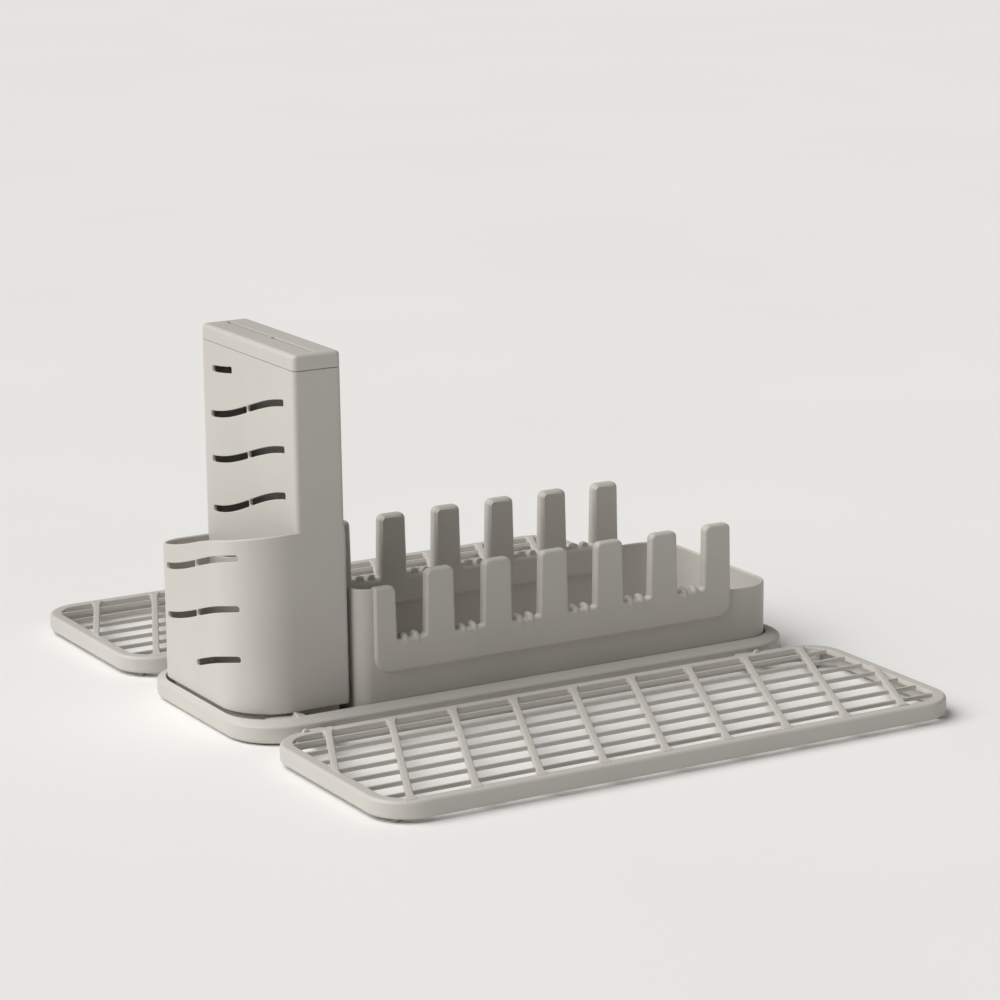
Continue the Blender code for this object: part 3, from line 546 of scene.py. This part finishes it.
CAP_TOP = 206.2 * MM
CAP_GAP = 0.3 * MM
CAP_FILLET = 2.4 * MM
CAP_ROOF = 2.4 * MM
PLUG_DEPTH, PLUG_GAP, PLUG_WALL = 5 * MM, 0.3 * MM, 1.6 * MM
SLIT_HALF_WIDTH, SLIT_CORNER = 1.3 * MM, 0.6 * MM
SLITS = ((-50.5 * MM, -3.6 * MM), (0.4 * MM, 49.6 * MM))  # from one y to another
SLIT_EDGE = [(0, -0.45), (0.12, -0.15), (0.4, 0.02), (0.4, 1.0)]  # (widening, height over the cap) in mm


def cap_outline(inset):
    """The cap's outline under its top fillet: the corners keep a little radius."""
    corners = [BLOCK_CORNER - inset + 0.3 * MM] * 4
    left, right = BLOCK_LEFT + inset, BLOCK_RIGHT_TOP - inset
    return rounded_box(left, right, CADDY_FRONT + inset, CADDY_BACK - inset, corners, 8)


def slit_cutter(y0, y1):
    middle = (BLOCK_LEFT + BLOCK_RIGHT_TOP) / 2
    sections = [(0, 0)] + [(grow * MM, CAP_TOP + rise * MM) for grow, rise in SLIT_EDGE]
    rings = []
    for grow, z in sections:
        left, right = middle - SLIT_HALF_WIDTH - grow, middle + SLIT_HALF_WIDTH + grow
        rings.append(level(rounded_box(left, right, y0 - grow, y1 + grow, [SLIT_CORNER] * 4, 4), z))
    return loft("slit", rings)


def make_cap():
    low = BLOCK_TOP + CAP_GAP
    rings = [block_ring(BLOCK_RIGHT_TOP, low, 0.25 * MM), block_ring(BLOCK_RIGHT_TOP, low + 0.3 * MM)]
    rings += [level(cap_outline(inset), CAP_TOP - drop) for inset, drop in rounding(CAP_FILLET, 90, 8)]
    plug = prism("plug", block_outline(BLOCK_RIGHT_TOP, WALL + PLUG_GAP), BLOCK_TOP - PLUG_DEPTH, low + MM)
    cap = combine(loft("rack_cap", rings), [plug], "UNION")
    inside = block_outline(BLOCK_RIGHT_TOP, WALL + PLUG_GAP + PLUG_WALL)
    hollow = prism("hollow", inside, 0, CAP_TOP - CAP_ROOF)
    return finish_mesh(combine(cap, [hollow] + [slit_cutter(y0, y1) for y0, y1 in SLITS], "DIFFERENCE"))


# Plate bin: an open shell with a comb of posts along each side, and ridged rests between the posts

BIN_LOW, BIN_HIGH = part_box("plate_bin")
BIN_HALF_DEPTH = 61.0 * MM
BIN_LEFT_CORNER, BIN_RIGHT_CORNER = 8.5 * MM, 20 * MM
LEFT_END_TOP, RIGHT_END_TOP = 76.0 * MM, 42.7 * MM
SWEEP_START, SWEEP_RADIUS = 0.3 * MM, 3.2 * MM  # of the rim's curve beside the combs' right ends

COMB_FACE, COMB_THICKNESS = 63.0 * MM, 7.0 * MM
COMB_LOW, COMB_LEFT, COMB_RIGHT = 28.5 * MM, -96.0 * MM, 132.0 * MM
COMB_CORNER, COMB_OUTER_FILLET, COMB_INNER_FILLET = 9 * MM, 1.6 * MM, 3.2 * MM
REST_LEVEL, REST_FILLET = 46.3 * MM, 1.6 * MM
POST_TOP, SHORT_POST_TOP = 82.7 * MM, 76.5 * MM
POST_CORNER, FIRST_POST_CORNER = 3.6 * MM, 1.6 * MM
LEFT_CORNER_SHRINK = 1.4 * MM  # the most that the fillets take from a post's left corner
POST_WIDTH, POST_PITCH, LAST_POST_X, POST_COUNT = 16.9 * MM, 35.74 * MM, 122.9 * MM, 7
POST_TAPER = 0.7 * MM

# A ridge's middle line over a rest and down its face, in mm: (distance from the centre line, height).
RIDGE_PATH = [(57.2, 46.7)] + arc((59.0, 44.4), 2.3, 90, 0, 6) + [(61.1, 42.0), (60.8, 39.5), (60.2, 36.8)]
RIDGE_RADIUS, RIDGE_SIDES = 2.15 * MM, 14
RIDGE_SPACING = 7.0 * MM

BIN_FOOT_EDGE = [(1.5, 0), (0.45, 0.45), (0, 1.6)]  # (inset, rise) in mm, outside
BIN_FLOOR_EDGE = [(0, 4.5), (0.8, 2.9), (2.5, 2.0)]  # (inset from the wall, rise) in mm, inside
BIN_DRAIN_COUNT, BIN_DRAIN_FIRST, BIN_DRAIN_PITCH = 6, -75 * MM, 42 * MM
BIN_DRAIN_HALF_WIDTH, BIN_DRAIN_HALF_LENGTH = 2 * MM, 30 * MM


def post_places():
    """(left, right, top) of each post; the first is narrower and lower."""
    posts = []
    for index in range(POST_COUNT):
        x = LAST_POST_X - (POST_COUNT - 1 - index) * POST_PITCH
        posts.append((x - POST_WIDTH / 2, x + POST_WIDTH / 2, POST_TOP))
    posts[0] = (COMB_LEFT, posts[0][1], SHORT_POST_TOP)
    return posts


def comb_outline(inset):
    """The comb in X and Z, from its lower left corner: posts with rounded tops, and filleted rests."""
    left, right, low = COMB_LEFT + inset, COMB_RIGHT - inset, COMB_LOW + inset
    lower_corner = COMB_CORNER - inset
    points = arc((left + lower_corner, low + lower_corner), lower_corner, 180, 270, 10)
    points += arc((right - lower_corner, low + lower_corner), lower_corner, 270, 360, 10)
    posts = post_places()
    rest = REST_LEVEL + REST_FILLET
    for index in reversed(range(POST_COUNT)):
        x0, x1, top = posts[index]
        if index < POST_COUNT - 1:
            points += arc((x1 + POST_TAPER + REST_FILLET, rest), REST_FILLET + inset, 270, 180, 6)
        points += arc((x1 - POST_CORNER, top - POST_CORNER), POST_CORNER - inset, 0, 90, 8)
        corner = FIRST_POST_CORNER if index == 0 else POST_CORNER
        shrink = min(inset, LEFT_CORNER_SHRINK)
        points += arc((x0 + corner, top - corner), corner - shrink, 90, 180, 8)
        if index > 0:
            points += arc((x0 - POST_TAPER - REST_FILLET, rest), REST_FILLET + inset, 0, -90, 6)
    return points


def make_comb(side):
    """One long side's posts and rests: small fillets on the outer face and large ones inside."""
    sections = [(drop, inset) for inset, drop in rounding(COMB_OUTER_FILLET, 90, 4)]
    sections += [(inset, COMB_THICKNESS - drop) for inset, drop in rounding(COMB_INNER_FILLET, 90, 6)]
    rings = []
    for inset, depth in sections:
        y = side * (COMB_FACE - depth)
        rings.append([(x, y, z) for x, z in comb_outline(inset)])
    return loft("comb", rings)


def make_ridge(x, side):
    """A rounded ridge that crosses a rest, turns over its outer edge and dies away down the face."""
    rings = []
    for i, (y, z) in enumerate(RIDGE_PATH):
        before, after = RIDGE_PATH[max(i - 1, 0)], RIDGE_PATH[min(i + 1, len(RIDGE_PATH) - 1)]
        tangent = Vector((after[0] - before[0], after[1] - before[1])).normalized()
        normal = Vector((-tangent.y, tangent.x))
        ring = []
        for step in range(RIDGE_SIDES):
            angle = math.tau * step / RIDGE_SIDES
            along, out = RIDGE_RADIUS * math.cos(angle), RIDGE_RADIUS * math.sin(angle)
            ring.append((x + along, side * (y * MM + normal.x * out), z * MM + normal.y * out))
        rings.append(ring)
    return loft("ridge", rings)


def bin_wall_top(x, y):
    """The shell's rim: high at the left end, hidden in the combs along the sides, low at the right end."""
    if abs(y) > BIN_HALF_DEPTH - 3 * MM and COMB_LEFT + MM < x < COMB_RIGHT - 3 * MM:
        return REST_LEVEL - 3 * MM
    if x < 0:
        return LEFT_END_TOP
    climb = SWEEP_RADIUS - max(min(x - COMB_RIGHT + SWEEP_START, SWEEP_RADIUS), 0)
    return RIGHT_END_TOP + (SWEEP_RADIUS - math.sqrt(max(SWEEP_RADIUS**2 - climb**2, 0)))


def bin_outline(inset):
    """The shell's outline, with extra points along its sides where the rim's height changes."""
    cuts = [COMB_LEFT + 0.9 * MM, COMB_LEFT + 1.1 * MM, COMB_RIGHT - 3.1 * MM, COMB_RIGHT - 2.9 * MM]
    cuts += [COMB_RIGHT + t * MM for t in (-0.3, 0.1, 0.5, 1.0, 1.6, 2.3, 3.0)]
    x0, x1, y0, y1 = BIN_LOW.x + inset, BIN_HIGH.x - inset, -BIN_HALF_DEPTH + inset, BIN_HALF_DEPTH - inset
    left, right = BIN_LEFT_CORNER - inset, BIN_RIGHT_CORNER - inset
    return (
        arc((x0 + left, y0 + left), left, 180, 270, 12)
        + [(x, y0) for x in cuts]
        + arc((x1 - right, y0 + right), right, 270, 360, 20)
        + arc((x1 - right, y1 - right), right, 0, 90, 20)
        + [(x, y1) for x in reversed(cuts)]
        + arc((x0 + left, y1 - left), left, 90, 180, 12)
    )


def bin_skin():
    tops = [bin_wall_top(x, y) for x, y in bin_outline(0)]
    rings = [level(bin_outline(inset * MM), BIN_LOW.z + rise * MM) for inset, rise in BIN_FOOT_EDGE]
    for inset, drop in rounding(WALL / 2, 180, 8):
        rings.append([(x, y, top - drop) for (x, y), top in zip(bin_outline(inset), tops)])
    rings += [level(bin_outline(WALL + inset * MM), BIN_LOW.z + rise * MM) for inset, rise in BIN_FLOOR_EDGE]
    return loft("rack_bin", rings)


def make_bin():
    shell = bin_skin()
    ridges = []
    for post, following in zip(post_places(), post_places()[1:]):
        middle = (post[1] + following[0]) / 2
        for side in (-1, 1):
            ridges += [make_ridge(middle + offset * RIDGE_SPACING / 2, side) for offset in (-1, 1)]
    combs = combine(join("combs", [make_comb(-1), make_comb(1)]), [join("ridges", ridges)], "UNION")
    drains = []
    for index in range(BIN_DRAIN_COUNT):
        x = BIN_DRAIN_FIRST + index * BIN_DRAIN_PITCH
        drains.append(drain(x, 0, BIN_DRAIN_HALF_WIDTH, BIN_DRAIN_HALF_LENGTH, BIN_LOW.z + 4 * MM))
    return finish_mesh(combine(combine(shell, [combs], "UNION"), drains, "DIFFERENCE"))


# Draining trays: a rim around slats, with slanted crossbars on top

TRAY_LOW, TRAY_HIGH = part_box("front_tray")
TRAY_LENGTH = TRAY_HIGH.x - TRAY_LOW.x
TRAY_DEPTH = 134.5 * MM
TRAY_MIDDLE = TRAY_LOW.y + TRAY_DEPTH / 2
TRAY_SHIFT = (TRAY_LOW.x + TRAY_HIGH.x) / 2
TRAY_UNDERSIDE = TRAY_LOW.z
TRAY_CORNER, TRAY_TOP, TRAY_RIM, TRAY_SKIRT = 23 * MM, 12.0 * MM, 7.0 * MM, 2.2 * MM
TRAY_FILLET = 2.0 * MM
TRAY_FOOT_EDGE = [(1.7, 0), (1.0, 0.12), (0.45, 0.5), (0.12, 1.15), (0.0, 2.0)]  # (inset, rise) in mm
TRAY_INNER_EDGE = [(0.7, 0), (0.2, 0.2), (0, 0.7)]  # (out from the rim's inner face, drop) in mm
GRATE_BOTTOM = 9.4 * MM

SLAT_COUNT, SLAT_PITCH, SLAT_THICKNESS = 7, 16.6 * MM, 1.6 * MM
CROSSBAR_COUNT, CROSSBAR_PITCH, CROSSBAR_WIDTH, CROSSBAR_TOP = 10, 37.5 * MM, 4.2 * MM, 12.6 * MM
CROSSBAR_SLANT, CROSSBAR_FIRST = 55.6 * MM, 140.3 * MM
CROSSBAR_FILLET, CROSSBAR_CROWN = 0.8 * MM, 0.05 * MM
CROSSBAR_OVERLAP = 1.5 * MM  # how far the bars run into the rim
# How far along a crossbar, how many times its width there, and how far its top sinks, in mm.
HALF_CROSSBAR_PATH = [
    (-0.012, 1.5, 0.5),
    (-0.008, 1.75, 0.3),
    (0, 1.85, 0.22),
    (0.008, 1.7, 0.2),
    (0.018, 1.45, 0.15),
    (0.032, 1.2, 0.08),
    (0.05, 1.06, 0.02),
    (0.075, 1.0, 0.0),
]
CROSSBAR_PATH = HALF_CROSSBAR_PATH + [(1 - t, times, sink) for t, times, sink in reversed(HALF_CROSSBAR_PATH)]

NUB_XS, NUB_INSET = (-153 * MM, 131.4 * MM), 2.4 * MM
NUB_PROFILE = [(2.6, -1.0), (2.2, 0.3), (1.4, 1.2), (0.8, 1.6), (0.3, 1.7)]  # (half length, height) in mm
BOSS_RADIUS, BOSS_BOTTOM = 3.4 * MM, 3.3 * MM
FOOT_REACH = 17.8 * MM  # from a corner's centre


def tray_outline(inset):
    half_x, half_y, radius = TRAY_LENGTH / 2 - inset, TRAY_DEPTH / 2 - inset, TRAY_CORNER - inset
    return rounded_box(-half_x, half_x, -half_y, half_y, [radius] * 4, 16)


def tray_ring(inset, z):
    return level(tray_outline(inset), z)


def tray_rim(name):
    """The hollow rim: up the outer face, over the flat top, down inside and back below to the skirt."""
    rings = [tray_ring(inset * MM, TRAY_UNDERSIDE + rise * MM) for inset, rise in TRAY_FOOT_EDGE]
    rings += [tray_ring(inset, TRAY_TOP - drop) for inset, drop in rounding(TRAY_FILLET, 90, 6)]
    rings += [tray_ring(TRAY_RIM - out * MM, TRAY_TOP - drop * MM) for out, drop in TRAY_INNER_EDGE]
    rings.append(tray_ring(TRAY_RIM, GRATE_BOTTOM))
    rings += [tray_ring(TRAY_SKIRT, GRATE_BOTTOM), tray_ring(TRAY_SKIRT, TRAY_UNDERSIDE)]
    return loft(name, rings, closed=True)


def make_slat(y):
    """A slat along the whole tray, with a rounded upper edge."""
    half, reach = SLAT_THICKNESS / 2, TRAY_LENGTH / 2 - TRAY_RIM + 2 * MM
    low, top = GRATE_BOTTOM + 0.2 * MM, TRAY_TOP - 0.15 * MM
    edge = [(half, top - 0.45 * MM), (half * 0.75, top - 0.12 * MM), (half * 0.3, top)]
    section = [(-half, low), (half, low)] + edge + [(-offset, z) for offset, z in reversed(edge)]
    return loft("slat", [[(x, y + offset, z) for offset, z in section] for x in (-reach, reach)])


def make_crossbar(index):
    """A straight slanted bar with a nearly flat top, which widens where it runs onto each rim."""
    low, fillet = GRATE_BOTTOM + 0.4 * MM, CROSSBAR_FILLET
    rings = []
    for t, times, sink in CROSSBAR_PATH:
        half, top = times * CROSSBAR_WIDTH / 2, CROSSBAR_TOP - sink * MM
        y = (t - 0.5) * (TRAY_DEPTH - 2 * (TRAY_RIM - CROSSBAR_OVERLAP))
        x = CROSSBAR_FIRST - index * CROSSBAR_PITCH + CROSSBAR_SLANT * t
        section = [(-half, low), (half, low)]
        section += arc((half - fillet, top - fillet), fillet, 0, 80, 4)
        section += [(0, top + CROSSBAR_CROWN)]
        section += arc((fillet - half, top - fillet), fillet, 100, 180, 4)
        rings.append([(x + offset, y, z) for offset, z in section])
    return loft("crossbar", rings)


def make_grate():
    """The slats and crossbars; the outermost bars are cut along the rim."""
    slats = [make_slat((index - (SLAT_COUNT - 1) / 2) * SLAT_PITCH) for index in range(SLAT_COUNT)]
    bars = []
    for index in range(CROSSBAR_COUNT):
        bar = make_crossbar(index)
        if index in (0, CROSSBAR_COUNT - 1):
            bound = prism("bound", tray_outline(TRAY_RIM - CROSSBAR_OVERLAP), 0, 20 * MM)
            bar = combine(bar, [bound], "INTERSECT")
        bars.append(bar)
    return combine(join("slats", slats), [join("bars", bars)], "UNION")


def make_nub(x):
    """A small pointed nub on the hinged rim."""
    y = TRAY_DEPTH / 2 - NUB_INSET
    rings = []
    for a, z in NUB_PROFILE:
        half = a * MM
        outline = rounded_box(x - half, x + half, y - half / 2, y + half / 2, [half * 0.4] * 4, 3)
        rings.append(level(outline, TRAY_TOP + z * MM))
    return loft("nub", rings)


def tray_foot_places():
    reach = FOOT_REACH / math.sqrt(2)
    x, y = TRAY_LENGTH / 2 - TRAY_CORNER + reach, TRAY_DEPTH / 2 - TRAY_CORNER + reach
    return [(-x, -y), (x, -y), (x, y), (-x, y)]


def make_ears(side):
    """The tray's two ears beside each arm of the base."""
    root = (-TRAY_MIDDLE - TRAY_DEPTH / 2 + TRAY_SKIRT - 0.6 * MM, HINGE.z + HINGE_RADIUS)
    ears = []
    for x in hinge_places(side):
        for start in (x - HINGE_ARM / 2 - HINGE_SIDE_GAP - HINGE_EAR, x + HINGE_ARM / 2 + HINGE_SIDE_GAP):
            ears.append(knuckle("ear", side, root, start, start + HINGE_EAR))
    return join("ears", ears)


def make_tray(name, side):
    tray = tray_rim(name)
    grate = make_grate()
    nubs = join("nubs", [make_nub(x) for x in NUB_XS])
    circles = [circle(place, BOSS_RADIUS, 32) for place in tray_foot_places()]
    bosses = join("bosses", [prism("boss", outline, BOSS_BOTTOM, GRATE_BOTTOM + MM) for outline in circles])
    tray = combine(tray, [grate, nubs, bosses], "UNION")
    turn = Matrix.Rotation(math.pi, 4, "Z") if side > 0 else Matrix.Identity(4)
    tray.data.transform(Matrix.Translation((TRAY_SHIFT, -side * TRAY_MIDDLE, 0)) @ turn)
    tray = combine(tray, [make_ears(side)], "UNION")
    return finish_mesh(combine(tray, [pin_bores(side)], "DIFFERENCE"))


# Hinge pins and feet

PIN_CHAMFER, PIN_END = 0.3 * MM, 0.75  # the end's radius is a share of the pin's
# Shares of a foot's radius and height.
FOOT_PROFILE = [(0.5, 0.25), (0.72, 0.0), (0.84, 0.0), (0.94, 0.12), (1.0, 0.45), (1.0, 1.0)]


def make_pin(node):
    """A steel pin with chamfered ends along X."""
    low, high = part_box(node)
    y, z, radius = (low.y + high.y) / 2, (low.z + high.z) / 2, (high.z - low.z) / 2
    rings = []
    for x, r in ((low.x, PIN_END), (low.x + PIN_CHAMFER, 1), (high.x - PIN_CHAMFER, 1), (high.x, PIN_END)):
        rings.append([(x, y + py, z + pz) for py, pz in circle((0, 0), radius * r, 24)])
    return finish_mesh(loft("finished_" + node, rings))


def make_foot(node):
    """A rubber foot with a rounded lower edge and a shallow dish below."""
    low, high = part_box(node)
    centre = ((low.x + high.x) / 2, (low.y + high.y) / 2)
    radius, height = (high.x - low.x) / 2, high.z - low.z
    rings = [level(circle(centre, radius * r, 36), low.z + height * z) for r, z in FOOT_PROFILE]
    return finish_mesh(loft("finished_" + node, rings))


# Materials

PLASTIC_COLOUR, FLOW_SHARE = (0.575, 0.555, 0.515), 0.035
BUMP_DISTANCE = 0.0002


def new_material(name):
    """A material, its node tree, its shader and the object's coordinates."""
    material = bpy.data.materials.new(name)
    material.use_nodes = True
    tree = material.node_tree
    coordinates = tree.nodes.new("ShaderNodeTexCoord").outputs["Object"]
    return material, tree, tree.nodes["Principled BSDF"], coordinates


def noise(tree, coordinates, scale, detail, roughness=0.5):
    node = tree.nodes.new("ShaderNodeTexNoise")
    node.inputs["Scale"].default_value = scale
    node.inputs["Detail"].default_value = detail
    node.inputs["Roughness"].default_value = roughness
    tree.links.new(coordinates, node.inputs["Vector"])
    return node.outputs["Fac"]


def colour_between(tree, shader, factor, low, high):
    """Mixes the base colour from two, over the middle of a noise's range."""
    node = tree.nodes.new("ShaderNodeValToRGB")
    for element, position, colour in zip(node.color_ramp.elements, (0.3, 0.7), (low, high)):
        element.position = position
        element.color = (*colour, 1)
    tree.links.new(factor, node.inputs["Fac"])
    tree.links.new(node.outputs["Color"], shader.inputs["Base Color"])


def emboss(tree, shader, height, strength):
    bump = tree.nodes.new("ShaderNodeBump")
    bump.inputs["Strength"].default_value = strength
    bump.inputs["Distance"].default_value = BUMP_DISTANCE
    tree.links.new(height, bump.inputs["Height"])
    tree.links.new(bump.outputs["Normal"], shader.inputs["Normal"])


def plastic():
    """Warm grey polypropylene with a spark-eroded mould texture and faint flow marks."""
    material, tree, shader, coordinates = new_material("greige_plastic_finish")
    darker = tuple(c * (1 - FLOW_SHARE) for c in PLASTIC_COLOUR)
    lighter = tuple(c * (1 + FLOW_SHARE) for c in PLASTIC_COLOUR)
    colour_between(tree, shader, noise(tree, coordinates, 14, 3), darker, lighter)
    grain = noise(tree, coordinates, 1900, 3, 0.6)
    rough = tree.nodes.new("ShaderNodeMapRange")
    rough.inputs["To Min"].default_value = 0.44
    rough.inputs["To Max"].default_value = 0.56
    tree.links.new(grain, rough.inputs["Value"])
    tree.links.new(rough.outputs["Result"], shader.inputs["Roughness"])
    emboss(tree, shader, grain, 0.12)
    shader.inputs["IOR"].default_value = 1.49
    return material


def rubber():
    material, tree, shader, coordinates = new_material("foot_rubber_finish")
    grain = noise(tree, coordinates, 900, 4)
    colour_between(tree, shader, grain, (0.30, 0.29, 0.27), (0.36, 0.35, 0.33))
    shader.inputs["Roughness"].default_value = 0.8
    emboss(tree, shader, grain, 0.2)
    return material


def steel():
    material, tree, shader, coordinates = new_material("pin_steel_finish")
    grain = noise(tree, coordinates, 1200, 2)
    colour_between(tree, shader, grain, (0.55, 0.55, 0.56), (0.66, 0.66, 0.66))
    shader.inputs["Metallic"].default_value = 1
    shader.inputs["Roughness"].default_value = 0.32
    return material


def floor_paint():
    material, tree, shader, coordinates = new_material("floor_paint")
    tone = noise(tree, coordinates, 3, 2)
    colour_between(tree, shader, tone, (0.90, 0.895, 0.885), (0.92, 0.915, 0.905))
    shader.inputs["Roughness"].default_value = 0.9
    return material


# Camera, floor and light

CAMERA_PLACE = (-0.947353, -1.671351, 0.562495)
CAMERA_YAW, CAMERA_PITCH, CAMERA_ROLL = math.radians(30.006), math.radians(13.540), math.radians(-0.537)
LENS, SENSOR_WIDTH = 127.25, 36  # in mm
FLOOR_SIZE = 8
SKY_COLOUR, SKY_STRENGTH = (1.0, 0.985, 0.96, 1), 0.17
SUN_COLOUR, SUN_ENERGY, SUN_ANGLE = (1.0, 0.99, 0.975), 3.0, math.radians(62)
SUN_AZIMUTH, SUN_ELEVATION = math.radians(170), math.radians(49)


def make_camera():
    """A long lens from the front left, a little above the rack."""
    yaw, pitch, roll = CAMERA_YAW, CAMERA_PITCH, CAMERA_ROLL
    ahead = Vector((math.sin(yaw) * math.cos(pitch), math.cos(yaw) * math.cos(pitch), -math.sin(pitch)))
    right = Vector((math.cos(yaw), -math.sin(yaw), 0))
    up = right.cross(ahead)
    side = math.cos(roll) * right + math.sin(roll) * up
    top = math.cos(roll) * up - math.sin(roll) * right
    camera = bpy.data.objects.new("camera", bpy.data.cameras.new("camera"))
    bpy.context.scene.collection.objects.link(camera)
    camera.data.lens = LENS
    camera.data.sensor_width = SENSOR_WIDTH
    camera.data.clip_start = 0.05
    camera.matrix_world = Matrix.Translation(CAMERA_PLACE) @ Matrix((side, top, -ahead)).transposed().to_4x4()
    bpy.context.scene.camera = camera


def make_floor():
    bm = bmesh.new()
    bmesh.ops.create_grid(bm, x_segments=1, y_segments=1, size=FLOOR_SIZE)
    floor = mesh_object("floor", bm)
    floor.data.materials.append(floor_paint())


def make_light():
    """A large soft window from the left and a little behind, and a dim room."""
    world = bpy.data.worlds.new("studio")
    bpy.context.scene.world = world
    world.use_nodes = True
    background = world.node_tree.nodes["Background"]
    background.inputs["Color"].default_value = SKY_COLOUR
    background.inputs["Strength"].default_value = SKY_STRENGTH
    sun = bpy.data.lights.new("window", "SUN")
    sun.energy, sun.angle, sun.color = SUN_ENERGY, SUN_ANGLE, SUN_COLOUR
    obj = bpy.data.objects.new("window", sun)
    east, north, reach = math.cos(SUN_AZIMUTH), math.sin(SUN_AZIMUTH), math.cos(SUN_ELEVATION)
    towards = Vector((east * reach, north * reach, math.sin(SUN_ELEVATION)))
    obj.rotation_euler = towards.to_track_quat("Z", "Y").to_euler()
    bpy.context.scene.collection.objects.link(obj)
    bpy.context.scene.view_settings.view_transform = "Standard"


# Pieces


def dress(piece, body, finish, nodes):
    """Gives a piece its material, and the body and the CAD nodes that it stands for."""
    piece.data.materials.clear()
    piece.data.materials.append(finish)
    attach(piece, body)
    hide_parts(*nodes)


def make_plastic_pieces():
    finish = plastic()
    pieces = [
        (make_base(), "base", ["base_tray"]),
        (make_caddy(), "caddy", ["utensil_caddy"]),
        (make_cap(), "cap", ["block_cap"]),
        (make_bin(), "bin", ["plate_bin"]),
        (make_tray("rack_front_tray", -1), "front_tray", ["front_tray"]),
        (make_tray("rack_back_tray", 1), "back_tray", ["back_tray"]),
    ]
    for piece, body, nodes in pieces:
        dress(piece, body, finish, nodes)


def make_feet_and_pins():
    rubber_finish, steel_finish = rubber(), steel()
    for body, nodes in frame["record"]["behaviour"]["bodies"].items():
        for node in nodes:
            if "foot" in node:
                dress(make_foot(node), body, rubber_finish, [node])
            elif "pin" in node:
                dress(make_pin(node), body, steel_finish, [node])


make_camera()
make_floor()
make_light()
make_plastic_pieces()
make_feet_and_pins()
